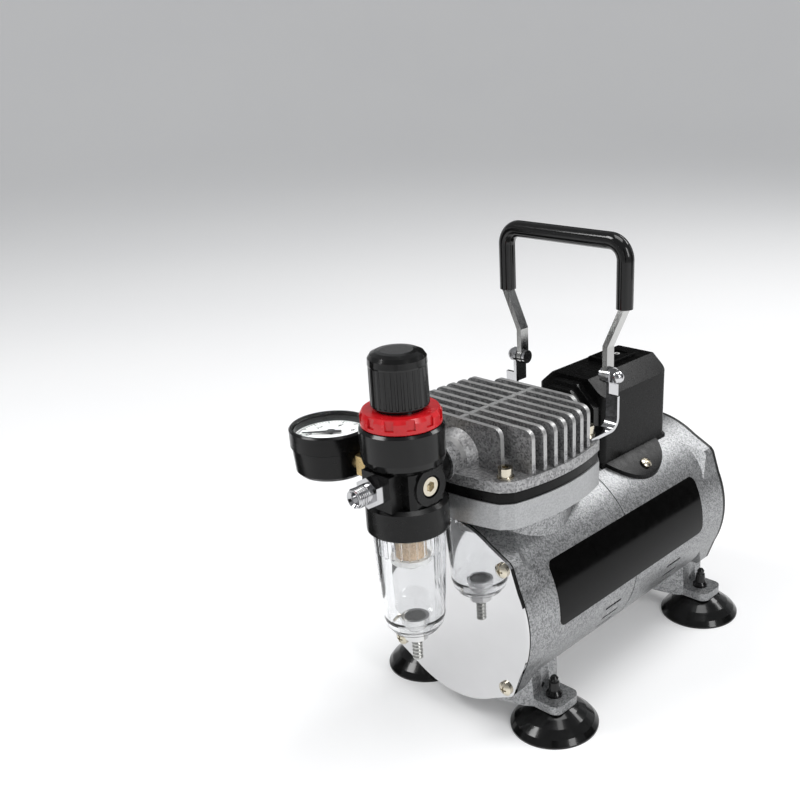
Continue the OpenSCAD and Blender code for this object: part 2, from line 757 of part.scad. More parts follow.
// Socket screws with washers; the rear pair also clamps the handle brackets
module head_bolts() color("#c9c4b4") for (dx = [-1, 1], dy = [-1, 1]) {
    seat = flange_z + (dy > 0 ? strap_t : 0);
    translate([dx * bolt_off, cyl_y + dy * bolt_off, 0]) {
        translate([0, 0, seat]) difference() {
            union() {
                cylinder(r = 4.2, h = 0.8);
                cylinder(r = 3.5, h = 5.2);
            }
            translate([0, 0, 3]) cylinder(r = 1.8, h = 4, $fn = 6);
        }
        translate([0, 0, stack_z + 2]) cylinder(r = bolt_d / 2, h = seat - stack_z - 2 + eps);
    }
}

// Pressure switch between the head and the box: pipe stub and round diaphragm housing
module pressure_switch() color("#1a1a1c")
    difference() {
        union() {
            rod_y(3.2, cyl_y + head_half - 3, sw_y0 + 3, port_z);
            rod_y(sw_half - 8, sw_y0 + 2.2, box_y0 - 0.1, sw_z);
        }
        rod_y(1.8, cyl_y + head_half - 4, sw_y0 + 4, port_z);
    }

// Its cap steps up from the box's front in three octagons
module pressure_switch_cap() color("#121214")
    difference() {
        union() for (k = [0:2])
            translate([0, box_y0, sw_z]) rotate([90, 0, 0]) rotate([0, 0, 22.5])
                cylinder(r = (sw_half - 2.4 * k) / cos(22.5), h = (box_y0 - sw_y0) * (k + 1) / 3, $fn = 8);
        rod_y(sw_half - 7.5, sw_y0 + 2, box_y0 + 1, sw_z);
        rod_y(3.3, sw_y0 - 1, sw_y0 + 3, port_z);
    }

// Frame of a box screw: Z points out of the barrel through the screw
module box_screw_dir(side) translate([0, box_ear_y, axis_z]) rotate([0, side * ear_screw_a, 0])
    children();

module box_screw_holes() for (side = [-1, 1]) box_screw_dir(side)
    translate([0, 0, barrel_r - 8]) cylinder(r = 1.7, h = 14);

// Saddle plate under the box, with a round ear and a screw on each side
module box_base() color("#161618")
    difference() {
        intersection() {
            tube_y(barrel_r + saddle_t, barrel_r, box_y0, box_y0 + box_l);
            union() {
                box_at(-box_w / 2, box_w / 2, box_y0, box_y0 + box_l, axis_z, box_top);
                for (side = [-1, 1]) translate([0, box_ear_y, axis_z])
                    rotate([0, side * ear_mid_a, 0]) cylinder(r = box_ear_r, h = barrel_r + 20);
            }
        }
        for (side = [-1, 1]) box_screw_dir(side) cylinder(r = 1.7, h = 100);
        box_at(-10, 10, box_y0 + 8, box_y0 + 20, axis_z, box_top);
    }

module box_screws() color("silver") for (side = [-1, 1]) box_screw_dir(side)
    translate([0, 0, barrel_r + saddle_t]) {
        difference() {
            intersection() {
                cylinder(r = 3.3, h = 2.6);
                translate([0, 0, -3]) sphere(r = 5.3);
            }
            translate([0, 0, 1.5]) for (t = [0, 90]) rotate([0, 0, t])
                translate([-1.7, -0.4, 0]) cube([3.4, 0.8, 3]);
        }
        translate([0, 0, -5.2]) cylinder(r = 1.7, h = 5.2 + eps);
    }

// Section of the box across its length, drawn in X and Z; in shrinks it by a wall
module box_section(in) {
    w = box_w / 2 - in;
    t = box_top - in;
    k = in * 0.42;
    polygon([
        [-w, axis_z], [w, axis_z], [w, box_top - box_chamfer_z - k],
        [box_w / 2 - box_chamfer_x - k, t], [-box_w / 2 + box_chamfer_x + k, t],
        [-w, box_top - box_chamfer_z - k]
    ]);
}

// Upright block with rounded vertical edges that trims the cover's ends
module box_block(in) {
    w = box_w / 2 - in;
    y0 = box_y0 + in;
    y1 = box_y0 + box_l - in;
    c = max(box_corner - in, 0.8);
    translate([0, 0, axis_z]) linear_extrude(box_top - axis_z + 5) union() {
        translate([-w + c, y0]) square([2 * (w - c), y1 - y0]);
        translate([-w, y0 + c]) square([2 * w, y1 - y0 - 2 * c]);
        for (dx = [-1, 1], y = [y0 + c, y1 - c]) translate([dx * (w - c), y]) circle(r = c);
    }
}

module box_cover() color("#1d1d20")
    difference() {
        intersection() {
            along_y(box_y0, box_y0 + box_l) box_section(0);
            box_block(0);
        }
        intersection() {
            along_y(box_y0 + box_wall, box_y0 + box_l - box_wall) box_section(box_wall);
            box_block(box_wall);
        }
        rod_y(cover_r, box_y0 - 1, box_y0 + box_l + 1);
        box_at(-rocker_w / 2, rocker_w / 2, rocker_y - rocker_l / 2, rocker_y + rocker_l / 2,
            box_top - 6, box_top + 1);
        rod_y(6.2, box_y0 + box_l - 5, box_y0 + box_l + 1, gland_z);
    }

module capacitor() color("#d9d9d4") translate([0, box_y0 + 8, stack_z + cap_r + 4])
    rotate([-90, 0, 0]) {
        cylinder(r = cap_r, h = cap_l);
        for (dx = [-4, 4]) translate([dx - 0.4, -2, cap_l - eps]) cube([0.8, 4, 5]);
    }

// Cable gland in the box's rear wall: nut inside, hexagon and domed cap outside
module cord_gland() color("#121212") {
    y1 = box_y0 + box_l;
    difference() {
        union() {
            rod_y(6.2, y1 - box_wall - 4, y1, gland_z);
            translate([0, y1, gland_z]) rotate([-90, 0, 0]) cylinder(r = 9, h = 5, $fn = 6);
            translate([0, y1 + 5, gland_z]) rotate([-90, 0, 0]) cylinder(r1 = 7.6, r2 = 6, h = 9);
        }
        rod_y(gland_hole_r, y1 - box_wall - 5, y1 + 20, gland_z);
    }
}

module rocker_frame() color("#0e0e0f") {
    w = rocker_w / 2;
    l = rocker_l / 2;
    difference() {
        union() {
            box_at(-w - frame_rim, w + frame_rim, rocker_y - l - frame_rim,
                rocker_y + l + frame_rim, box_top, box_top + frame_h);
            box_at(-w, w, rocker_y - l, rocker_y + l, box_top - 12, box_top + eps);
        }
        box_at(-w + 1, w - 1, rocker_y - l + 1, rocker_y + l - 1, box_top - 11, box_top + 3);
    }
    // pivot pips on the frame's long walls
    for (side = [-1, 1]) translate([side * (w - 0.85), rocker_y, rocker_pivot_z])
        rotate([0, 90, 0]) cylinder(r = 0.9, h = 1.3, center = true);
}

// Rocker cap: two sloping faces that meet over the pivot, drawn pressed to its rear end
module rocker() color("#101011") {
    w = rocker_w / 2 - 1 - move_gap;
    l = rocker_l / 2 - 2;
    translate([0, rocker_y, rocker_pivot_z]) rotate([-rocker_tilt, 0, 0])
        difference() {
            translate([-w, 0, 0]) rotate([90, 0, 90]) linear_extrude(2 * w) polygon([
                [-l, 0], [-l, 4.6], [0, 3.3], [l, 4.6], [l, 0], [2.5, -3], [-2.5, -3]
            ]);
            for (side = [-1, 1]) translate([side * w, 0, 0]) rotate([0, 90, 0])
                cylinder(r = 0.9 + run_gap, h = 2.4, center = true);
        }
}

// Chromed strap: foot under a head bolt, a bend, the upright, and the ear for the pivot
module handle_bracket(side) color("#c8c8cc") {
    x0 = strap_x0;
    x1 = x0 + strap_w;
    bend_y = strap_y - strap_t - strap_bend;
    foot_x0 = bolt_off - 3.7;
    foot_y0 = cyl_y + notch + 0.3;
    mirror([side < 0 ? 1 : 0, 0, 0]) difference() {
        union() {
            box_at(foot_x0, x1, foot_y0, bend_y + eps, flange_z, flange_z + strap_t);
            translate([x0, bend_y, flange_z + strap_t + strap_bend]) rotate([90, 0, 90])
                rotate([0, 0, -90]) rotate_extrude(angle = 90)
                    translate([strap_bend, 0]) square([strap_t, strap_w]);
            box_at(x0, x1, strap_y - strap_t, strap_y, flange_z + strap_t + strap_bend - eps,
                pivot_z - 9);
            box_at(x0, x0 + strap_t, strap_y - strap_t, pivot_y + 4.6, pivot_z - 14, pivot_z + 1);
            translate([x0, pivot_y, pivot_z]) rotate([0, 90, 0]) cylinder(r = 4.6, h = strap_t);
        }
        translate([bolt_off, cyl_y + bolt_off, flange_z - 1])
            cylinder(r = bolt_d / 2, h = strap_t + 2);
        translate([x0 - 1, pivot_y, pivot_z]) rotate([0, 90, 0])
            cylinder(r = pivot_r, h = strap_t + 2);
    }
}

module handle_bracket_left() handle_bracket(-1);
module handle_bracket_right() handle_bracket(1);

// Pivot screws with a flat head inside and a domed nut outside
module pivot_screws() color("#d0d0d4") for (side = [-1, 1]) mirror([side < 0 ? 1 : 0, 0, 0])
    translate([0, pivot_y, pivot_z]) rotate([0, 90, 0]) {
        translate([0, 0, leg_x - bar_t / 2 - 1.9]) cylinder(r = 3.6, h = 1.7);
        translate([0, 0, leg_x - bar_t / 2 - 0.25])
            cylinder(r = pivot_r, h = strap_x0 + strap_t - leg_x + bar_t / 2 + 0.25 + eps);
        translate([0, 0, strap_x0 + strap_t]) {
            cylinder(r = 4.3, h = 2.2, $fn = 6);
            translate([0, 0, 2.2 - eps]) intersection() {
                cylinder(r = 3.7, h = 4);
                sphere(r = 3.7);
            }
        }
    }

// Middle line of the bar in the X-Z plane: leg, slanted run, upright, and the top bend
knee_z = pivot_z + knee_up;
sleeve_z = pivot_z + sleeve_up;
handle_top = pivot_z + handle_h;

// Flat outline of the bar, one half; t is the outline's thickness
module bar_half(t) {
    dx = handle_w / 2 - leg_x;
    dz = sleeve_z - knee_z;
    run = sqrt(dx * dx + dz * dz);
    lean = atan2(dx, dz);
    translate([leg_x - t / 2, pivot_z]) square([t, knee_z - pivot_z]);
    translate([leg_x, knee_z]) circle(r = t / 2);
    translate([leg_x, knee_z]) rotate(-lean) translate([-t / 2, 0]) square([t, run]);
    translate([handle_w / 2, sleeve_z]) circle(r = t / 2);
    translate([handle_w / 2 - t / 2, sleeve_z]) square([t, handle_top - bend_r - sleeve_z]);
    translate([handle_w / 2 - bend_r, handle_top - bend_r]) intersection() {
        difference() {
            circle(r = bend_r + t / 2);
            circle(r = bend_r - t / 2);
        }
        square(bend_r + t);
    }
    translate([-eps, handle_top - t / 2]) square([handle_w / 2 - bend_r + eps, t]);
}

module handle_bar() color("#bdbdb9")
    difference() {
        union() {
            along_y(pivot_y - bar_w / 2, pivot_y + bar_w / 2) union() {
                bar_half(bar_t);
                mirror([1, 0]) bar_half(bar_t);
            }
            // round lower ends of the legs
            for (side = [-1, 1]) translate([side * leg_x, pivot_y, pivot_z])
                rotate([0, 90, 0]) cylinder(r = bar_w / 2 + 1, h = bar_t, center = true);
        }
        for (side = [-1, 1]) translate([side * leg_x, pivot_y, pivot_z])
            rotate([0, 90, 0]) cylinder(r = pivot_hole_r, h = bar_t + 2, center = true);
    }

// Vinyl sleeve over the upper part of the bar
module handle_grip() color("#0c0c0c") {
    r = grip_d / 2;
    top = handle_top - bend_r;
    side_x = handle_w / 2;
    difference() {
        translate([0, pivot_y, 0]) union() {
            for (side = [-1, 1]) {
                translate([side * side_x, 0, sleeve_z]) cylinder(r = r, h = top - sleeve_z);
                translate([side * (side_x - bend_r), 0, top]) mirror([side < 0 ? 1 : 0, 0, 0])
                    rotate([90, 0, 0]) rotate_extrude(angle = 90) translate([bend_r, 0])
                        circle(r = r);
            }
            translate([-side_x + bend_r, 0, handle_top]) rotate([0, 90, 0])
                cylinder(r = r, h = 2 * (side_x - bend_r));
        }
        along_y(pivot_y - bar_w / 2, pivot_y + bar_w / 2) union() {
            bar_half(bar_t);
            mirror([1, 0]) bar_half(bar_t);
        }
    }
}

// Pipe nipple between the head's delivery boss and the regulator
module inlet_nipple() color("#17171a")
    difference() {
        rod_y(inlet_r - 0.3, inlet_y, cyl_y - head_half - 0.6, port_z);
        rod_y(port_r, inlet_y - 1, cyl_y, port_z);
    }

// Body: collar that takes the bowl, middle with three flats, and four ports
module regulator_body() color("#2a2b2d")
    difference() {
        union() {
            translate([0, reg_y, collar_z0]) rotate_extrude() polygon([
                [0, 0], [reg_r - 0.5, 0], [reg_r, 0.5], [reg_r, collar_z1 - collar_z0 - 1.6],
                [mid_r, collar_z1 - collar_z0], [0, collar_z1 - collar_z0]
            ]);
            intersection() {
                translate([0, reg_y, collar_z1 - 1]) cylinder(r = mid_r, h = bonnet_z0 - collar_z1 + 1);
                box_at(-flat_x, flat_x, reg_y - flat_y, reg_y + 30, collar_z1 - 2, bonnet_z0);
            }
            rod_y(inlet_r, reg_y + 6, inlet_y, port_z - 0.5);
            box_at(-block_half, block_half, block_y, reg_y, port_z - 9.8, bonnet_z0);
            translate([0, reg_y, port_z - 0.5]) rotate([0, 90, 0]) cylinder(r = 9.2, h = flat_x + 1.2);
            translate([-gauge_boss, reg_y, port_z]) rotate([0, 90, 0])
                cylinder(r = 8, h = gauge_boss);
        }
        // nothing reaches up into the bonnet
        box_at(-40, 40, reg_y - 40, inlet_y + 10, bonnet_z0, bonnet_z0 + 20);
        // bowl socket, flow passages and the threads' bores
        translate([0, reg_y, collar_z0 - 1])
            cylinder(r = bowl_r - 1, h = bowl_spigot + 1.2);
        translate([0, reg_y, collar_z0 + 5]) cylinder(r = 4, h = port_z - collar_z0 - 4);
        rod_y(port_r, reg_y, reg_y + reg_r + 2, port_z);
        rod_y(outlet_r - 1, block_y - 1, block_y + 6, port_z);
        rod_y(port_r, block_y, reg_y, port_z);
        translate([flat_x - 5, reg_y, port_z - 0.5]) rotate([0, 90, 0]) cylinder(r = 3.6, h = 8);
        translate([flat_x - 0.6, reg_y, port_z - 0.5]) rotate([0, 90, 0])
            cylinder(r = 5.4, h = 8);
        translate([-gauge_boss - 1, reg_y, port_z]) rotate([0, 90, 0]) cylinder(r = 3.6, h = 8);
        translate([-gauge_boss - 1, reg_y, port_z]) rotate([0, 90, 0])
            cylinder(r = 1, h = gauge_boss);
    }

// Bonnet: spring chamber and the threaded neck for the lock ring
module regulator_bonnet() color("#242527") translate([0, reg_y, 0])
    difference() {
        rotate_extrude() polygon([
            [0, bonnet_z0], [mid_r - 0.4, bonnet_z0], [reg_r - 0.7, bonnet_z0 + 2.2],
            [reg_r, bonnet_z0 + 5], [reg_r, bonnet_z1 - 1.2], [reg_r - 1.2, bonnet_z1],
            [neck_r, bonnet_z1], [neck_r, neck_top], [0, neck_top]
        ]);
        translate([0, 0, bonnet_z0 + 2]) cylinder(r = 9, h = bonnet_z1 - bonnet_z0 + 2);
        translate([0, 0, bonnet_z1]) cylinder(r = 3 + run_gap, h = 20);
    }

// Notched ring on the bonnet's neck
module lock_ring() color("#c8141a") translate([0, reg_y, ring_z0])
    difference() {
        rotate_extrude() polygon([
            [neck_r + slide_gap, 0], [ring_r - 0.5, 0], [ring_r, 0.5], [ring_r, ring_h - 2],
            [ring_r - 1.2, ring_h], [neck_r + slide_gap, ring_h]
        ]);
        for (k = [0:11]) rotate([0, 0, k * 30])
            translate([ring_r - 1, -2, 2]) cube([3, 4, ring_h]);
    }

// Fluted knob with a smooth rounded cap; its screw runs down through the neck
module pressure_knob() color("#0d0d0e") translate([0, reg_y, 0]) {
    difference() {
        rotate_extrude() polygon([
            [0, knob_z0 + 9.5], [neck_r + slide_gap + 0.2, knob_z0 + 9.5],
            [neck_r + slide_gap + 0.2, knob_z0], [knob_r - 0.4, knob_z0],
            [knob_r, knob_z0 + 0.6], [knob_r - 0.2, knob_z1 - 6.4], [knob_r, knob_z1 - 5.8],
            [knob_r - 0.2, knob_z1 - 3], [knob_r - 1.4, knob_z1 - 1.2],
            [knob_r - 3.6, knob_z1 - 0.2], [knob_r - 6, knob_z1], [0, knob_z1]
        ]);
        for (k = [0:flutes - 1]) rotate([0, 0, k * 360 / flutes])
            translate([knob_r + 0.25, 0, knob_z0 + 1]) cylinder(r = 0.75, h = knob_h - 7.6, $fn = 16);
    }
    translate([0, 0, bonnet_z0 + 6]) cylinder(r = 3, h = knob_z0 + 9.5 - bonnet_z0 - 6 + eps);
}

// Hexagon adaptor with the male outlet thread
module outlet_fitting() color("#d4d4d6")
    difference() {
        union() {
            rod_y(outlet_r - 1, block_y - eps, block_y + 5.5, port_z);
            translate([0, block_y, port_z]) rotate([90, 0, 0])
                rotate([0, 0, 30]) cylinder(r = 7.6, h = hex_l, $fn = 6);
            rod_y(outlet_r, outlet_y - outlet_len, outlet_y + eps, port_z);
        }
        rod_y(2.6, outlet_y - outlet_len - 1, block_y + 6, port_z);
        translate([0, outlet_y - outlet_len + 1.5 + eps, port_z]) rotate([90, 0, 0])
            cylinder(r1 = 2.6, r2 = 3.9, h = 1.5 + 2 * eps);
    }

module port_plug() color("#b9a47a") translate([0, reg_y, port_z - 0.5]) rotate([0, 90, 0])
    difference() {
        union() {
            translate([0, 0, flat_x - 5]) cylinder(r = 3.6, h = 4.4 + eps);
            translate([0, 0, flat_x - 0.6]) cylinder(r = 4.5, h = 1.3);
        }
        translate([0, 0, flat_x - 2.6]) cylinder(r = 2.6, h = 8, $fn = 6);
    }

// Brass stem: thread into the body, square for the spanner, and the end in the gauge case
module gauge_stem() color("#a98745") translate([0, reg_y, port_z]) {
    x_case = gauge_x + gauge_r;
    translate([-gauge_boss - 0.2, 0, 0]) rotate([0, 90, 0]) cylinder(r = 3.6, h = 6);
    translate([-gauge_boss - 9.5, -4.8, -4.8]) cube([9.5, 9.6, 9.6]);
    translate([x_case - 1.2, 0, 0]) rotate([0, 90, 0])
        cylinder(r = 4, h = -gauge_boss - 9.5 - x_case + 1.2 + eps);
}

module gauge_case() color("#151515") translate([gauge_x, reg_y, 0])
    difference() {
        rotate_extrude() polygon([
            [0, gauge_z0], [gauge_r - 3, gauge_z0], [gauge_r - 1.6, gauge_z0 + 1.6],
            [gauge_r - 0.7, gauge_z1 - 9.5], [gauge_r, gauge_z1 - 9], [gauge_r, gauge_z1 - 0.8],
            [gauge_r - 0.8, gauge_z1], [gauge_r - gauge_wall, gauge_z1],
            [gauge_r - gauge_wall, lens_z], [gauge_r - gauge_wall - 0.6, lens_z],
            [gauge_r - gauge_wall - 0.6, dial_z], [gauge_r - gauge_wall - 2.6, dial_z],
            [gauge_r - gauge_wall - 2.6, gauge_z0 + 2.2], [0, gauge_z0 + 2.2]
        ]);
        translate([gauge_r - 5, 0, port_z]) rotate([0, 90, 0]) cylinder(r = 4, h = 8);
    }

module gauge_dial() color("#f2f2ee") translate([gauge_x, reg_y, dial_z])
    difference() {
        cylinder(r = gauge_r - gauge_wall - 0.6, h = dial_t);
        translate([0, 0, -1]) cylinder(r = 0.9 + run_gap, h = 3);
    }

// Pointer and its spindle; drawn at zero, which is at the front left of the dial
module gauge_needle() color("#0a0a0a") translate([gauge_x, reg_y, 0]) rotate([0, 0, 225]) {
    translate([0, 0, dial_z - 1.5]) cylinder(r = 0.9, h = needle_z - dial_z + 2.3);
    translate([0, 0, needle_z]) cylinder(r = 2, h = 0.8);
    translate([0, 0, needle_z]) linear_extrude(0.5)
        polygon([[-5, -0.9], [0, -1.2], [gauge_r - 6, -0.25], [gauge_r - 6, 0.25], [0, 1.2], [-5, 0.9]]);
}

module gauge_lens() color([0.9, 0.95, 1, 0.35]) translate([gauge_x, reg_y, lens_z])
    cylinder(r = gauge_r - gauge_wall, h = lens_t);

module filter_element() color("#b98b5e") translate([0, reg_y, filter_z0])
    difference() {
        cylinder(r = filter_r, h = collar_z0 + bowl_spigot - 0.8 - filter_z0);
        translate([0, 0, -1]) cylinder(r = filter_r - 2.2, h = 60);
    }

// White baffle plate that clamps the element from below
module filter_baffle() color("#f1f1ec") translate([0, reg_y, 0]) {
    difference() {
        rotate_extrude() polygon([
            [0, filter_z0 - 6.5], [3, filter_z0 - 6.5], [9.6, filter_z0 - 2.5], [9.6, filter_z0],
            [0, filter_z0]
        ]);
    }
    translate([0, 0, filter_z0 - eps]) cylinder(r = 2.4, h = collar_z0 + 8 - filter_z0);
}

// Clear bowl, tapered, with a round bottom
module filter_bowl() color([0.92, 0.95, 0.97, 0.35]) translate([0, reg_y, bowl_z0])
    difference() {
        rotate_extrude() polygon([
            [drain_hole_r, 0], [8, 0], [bowl_low_r - 3.2, 2], [bowl_low_r - 0.9, 5.4],
            [bowl_low_r, 9.5], [bowl_r, bowl_h - 0.2], [bowl_r - 1.2, bowl_h - 0.2],
            [bowl_r - 1.2, bowl_h + bowl_spigot - 1], [bowl_r - 1.2 - bowl_wall, bowl_h + bowl_spigot - 1],
            [bowl_r - 1.2 - bowl_wall, bowl_h - 2], [bowl_low_r - bowl_wall, 10],
            [bowl_low_r - 3.6, 5], [7, bowl_wall + 0.4], [drain_hole_r, bowl_wall + 0.4]
        ]);
    }

// Fixed part of the drain: chromed cup in the bowl and the nut below it
module drain_valve() color("#c9c9cc") translate([0, reg_y, bowl_z0])
    difference() {
        union() {
            translate([0, 0, bowl_wall + 0.4]) cylinder(r = drain_cap_r + 1.6, h = drain_seat_t + 2.6);
            cylinder(r = drain_hole_r, h = bowl_wall + 1);
            translate([0, 0, -nut_h]) cylinder(r = 5.8, h = nut_h);
        }
        translate([0, 0, -nut_h - 1]) cylinder(r = 1.6 + slide_gap, h = 20);
        translate([0, 0, bowl_wall + 0.4 + drain_seat_t]) cylinder(r = drain_cap_r + slide_gap, h = 10);
    }

// Sprung drain button: dark cap in the bowl, stem, and the ribbed hose nipple below
module drain_button() color("#2b2f2e") translate([0, reg_y, 0]) {
    cap_z = bowl_z0 + bowl_wall + 0.4 + drain_seat_t + 0.2;
    translate([0, 0, cap_z]) cylinder(r = drain_cap_r, h = 1.6);
    translate([0, 0, nipple_top - eps]) cylinder(r = 1.6, h = cap_z - nipple_top + 2 * eps);
    translate([0, 0, nipple_top - nipple_l]) rotate_extrude() polygon(concat(
        [[0, 0], [2, 0]],
        [for (k = [0:4]) each [[2.6, k * 2 + 0.5], [2.6, k * 2 + 1.1], [2.2, k * 2 + 1.9]]],
        [[2.6, nipple_l], [0, nipple_l]]
    ));
}

crankcase();
motor_shell();
front_gasket();
front_plate();
end_screws();
rear_guard();
foot_front_left();
foot_front_right();
foot_rear_left();
foot_rear_right();
side_label();
stator_core();
stator_windings();
rotor_core();
motor_shaft();
front_bearing();
rear_bearing();
cooling_fan();
crank();
connecting_rod();
wrist_pin();
piston();
piston_ring();
cylinder_block();  // cylinder
valve_plate();
head_gasket();
reed_valves();
cylinder_head();
head_bolts();
pressure_switch();
pressure_switch_cap();
box_base();
box_cover();
box_screws();
capacitor();
cord_gland();
rocker_frame();
rocker();
handle_bracket_left();
handle_bracket_right();
pivot_screws();
handle_bar();
handle_grip();
inlet_nipple();
regulator_body();
regulator_bonnet();
lock_ring();
pressure_knob();
outlet_fitting();
port_plug();
gauge_stem();
gauge_case();
gauge_dial();
gauge_needle();
gauge_lens();
filter_element();
filter_baffle();
filter_bowl();
drain_valve();
drain_button();
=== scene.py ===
# %% [markdown]
# # A small airbrush compressor
# The frame holds every solid piece of the compressor at its true size. This lesson gives the pieces
# their finishes, adds the fine details that are only skin deep, and sets up a small photo studio.
# Everything is in metres: +X is right seen from the front plate, -Y is the front, +Z is up.

# %% Load the frame
import json
import math
import bpy
import bmesh
from mathutils import Matrix, Vector


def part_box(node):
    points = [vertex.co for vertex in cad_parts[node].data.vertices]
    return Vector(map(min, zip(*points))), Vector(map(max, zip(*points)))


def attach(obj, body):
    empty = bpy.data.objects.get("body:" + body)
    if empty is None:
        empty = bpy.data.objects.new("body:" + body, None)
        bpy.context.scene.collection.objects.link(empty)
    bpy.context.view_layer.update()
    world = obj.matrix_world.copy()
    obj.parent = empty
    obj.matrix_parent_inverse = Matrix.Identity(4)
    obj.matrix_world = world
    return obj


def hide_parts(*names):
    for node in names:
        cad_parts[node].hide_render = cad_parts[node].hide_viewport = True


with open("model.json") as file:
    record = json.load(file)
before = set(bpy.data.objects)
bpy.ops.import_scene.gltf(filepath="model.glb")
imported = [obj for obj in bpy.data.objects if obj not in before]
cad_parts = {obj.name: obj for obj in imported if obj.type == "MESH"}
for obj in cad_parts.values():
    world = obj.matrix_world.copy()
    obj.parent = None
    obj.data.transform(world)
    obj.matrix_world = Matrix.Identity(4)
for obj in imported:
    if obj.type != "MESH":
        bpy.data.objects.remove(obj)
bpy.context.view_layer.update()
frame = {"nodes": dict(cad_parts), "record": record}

nodes = frame["nodes"]

# %% [markdown]
# ## The camera
# A product shot is taken from the front right corner, a little above. The sensor is 36 mm wide. The
# lens shift moves the picture without turning the camera, so upright edges keep their true slope.

# %% Camera
camera = bpy.data.objects.new("camera", bpy.data.cameras.new("camera"))
bpy.context.scene.collection.objects.link(camera)
camera.matrix_world = (
    Matrix.Translation((0.3177, -0.4097, 0.3301))
    @ Matrix.Rotation(math.radians(41.14), 4, "Z")
    @ Matrix.Rotation(math.radians(66.65), 4, "X")
    @ Matrix.Rotation(math.radians(-1.42), 4, "Z")
)
camera.data.lens = 45.6
camera.data.shift_x = -0.143
camera.data.shift_y = 0.088
camera.data.clip_start = 0.01
bpy.context.scene.camera = camera

# %% [markdown]
# ## The studio
# The object stands on a round pale sweep: a flat floor that curves up into a wall all round, so every
# view has a pale, even background. Black and chrome pieces show what they reflect, so the lamps are
# large soft boxes, and a few black cards stand where a photographer puts them: their reflections draw
# dark edges on the clear bowl and on the polished plate. The cards act on mirrors and glass only, so
# they cast no shadow and aren't seen themselves. The picture is shown without a film curve,
# so that the red stays red.

# %% Lamps, cards, sweep and world
def stage_quad(name, place, aim, size):
    """A flat card that faces the aim."""
    turn = (Vector(place) - Vector(aim)).to_track_quat("Z", "Y").to_matrix().to_4x4()
    w, h = size[0] / 2, size[1] / 2
    mesh = bpy.data.meshes.new(name)
    mesh.from_pydata([(-w, -h, 0), (w, -h, 0), (w, h, 0), (-w, h, 0)], [], [(0, 1, 2, 3)])
    mesh.transform(Matrix.Translation(place) @ turn)
    card = bpy.data.objects.new(name, mesh)
    bpy.context.scene.collection.objects.link(card)
    card.visible_camera = card.visible_diffuse = card.visible_shadow = False
    return card


def lamp(name, place, aim, size, power, tint=(1, 1, 1)):
    data = bpy.data.lights.new(name, "AREA")
    data.shape = "RECTANGLE"
    data.size, data.size_y = size
    data.energy = power
    data.color = tint
    lamp_object = bpy.data.objects.new(name, data)
    bpy.context.scene.collection.objects.link(lamp_object)
    away = Vector(place) - Vector(aim)
    lamp_object.matrix_world = Matrix.Translation(place) @ away.to_track_quat("Z", "Y").to_matrix().to_4x4()
    return lamp_object


lamp("key_softbox", (-0.55, -0.75, 1.15), (0, 0, 0.08), (0.45, 0.45), 8)
lamp("side_softbox", (1.15, -0.15, 0.75), (0, 0, 0.08), (0.35, 0.7), 5.5)
lamp("back_softbox", (0.2, 1.1, 1.1), (0, 0, 0.1), (0.9, 0.3), 7)
lamp("top_softbox", (0.15, 0.05, 1.4), (0, 0, 0.1), (0.7, 0.7), 7)

world = bpy.data.worlds.new("studio")
bpy.context.scene.world = world
world.use_nodes = True
world.node_tree.nodes["Background"].inputs["Color"].default_value = (0.9, 0.92, 0.95, 1)
world.node_tree.nodes["Background"].inputs["Strength"].default_value = 0.3
bpy.context.scene.view_settings.view_transform = "Standard"


def sweep_mesh(flat=2.6, rise=1.4, sides=96):
    """A floor disc whose rim curves up into a wall."""
    rings = [(0.0, 0.0), (flat, 0.0)]
    rings += [(flat + rise * math.sin(a), rise * (1 - math.cos(a)))
              for a in (math.radians(d) for d in range(10, 91, 10))]
    built = bmesh.new()
    loops = [[built.verts.new((r * math.cos(t), r * math.sin(t), z))
              for t in (2 * math.pi * k / sides for k in range(sides))] for r, z in rings[1:]]
    middle = built.verts.new((0, 0, 0))
    for k in range(sides):
        n = (k + 1) % sides
        built.faces.new((middle, loops[0][k], loops[0][n]))
        for low, high in zip(loops, loops[1:]):
            built.faces.new((low[k], high[k], high[n], low[n]))
    mesh = bpy.data.meshes.new("floor")
    built.to_mesh(mesh)
    mesh.shade_smooth()
    return mesh


floor_mesh = sweep_mesh()
floor = bpy.data.objects.new("floor", floor_mesh)
bpy.context.scene.collection.objects.link(floor)
cards = [stage_quad("card_right", (0.75, -0.95, 0.45), (0, -0.1, 0.1), (0.3, 0.9)),
         stage_quad("card_left", (-0.4, -0.3, 0.16), (0, -0.12, 0.14), (0.22, 0.3)),
         stage_quad("card_low", (-0.3, -0.2, 0.001), (-0.3, -0.2, 1), (0.28, 0.22)),
         stage_quad("card_behind", (-0.3, 0.6, 0.3), (0, -0.1, 0.1), (0.6, 0.6)),
         stage_quad("card_far", (0.7, 0.6, 0.25), (0, -0.05, 0.1), (0.5, 0.49))]

# %% [markdown]
# ## Finishes
# Each finish starts from one Principled shader. The numbers that are the same all over a surface are
# set on the shader's own sockets. What varies is built from noise in Object coordinates, so its grain
# keeps its true size on every piece, and it travels with a piece that moves.

# %% A finish, its mottle and its grain
def finish(name, color, metallic=0.0, roughness=0.5, **sockets):
    for packed in [m for m in bpy.data.materials if m.name == name]:
        packed.name = name + "_packed"
    material = bpy.data.materials.new(name)
    material.use_nodes = True
    shader = material.node_tree.nodes["Principled BSDF"]
    shader.inputs["Base Color"].default_value = (*color, 1)
    shader.inputs["Metallic"].default_value = metallic
    shader.inputs["Roughness"].default_value = roughness
    for key, value in sockets.items():
        shader.inputs[key.replace("_", " ")].default_value = value
    return material


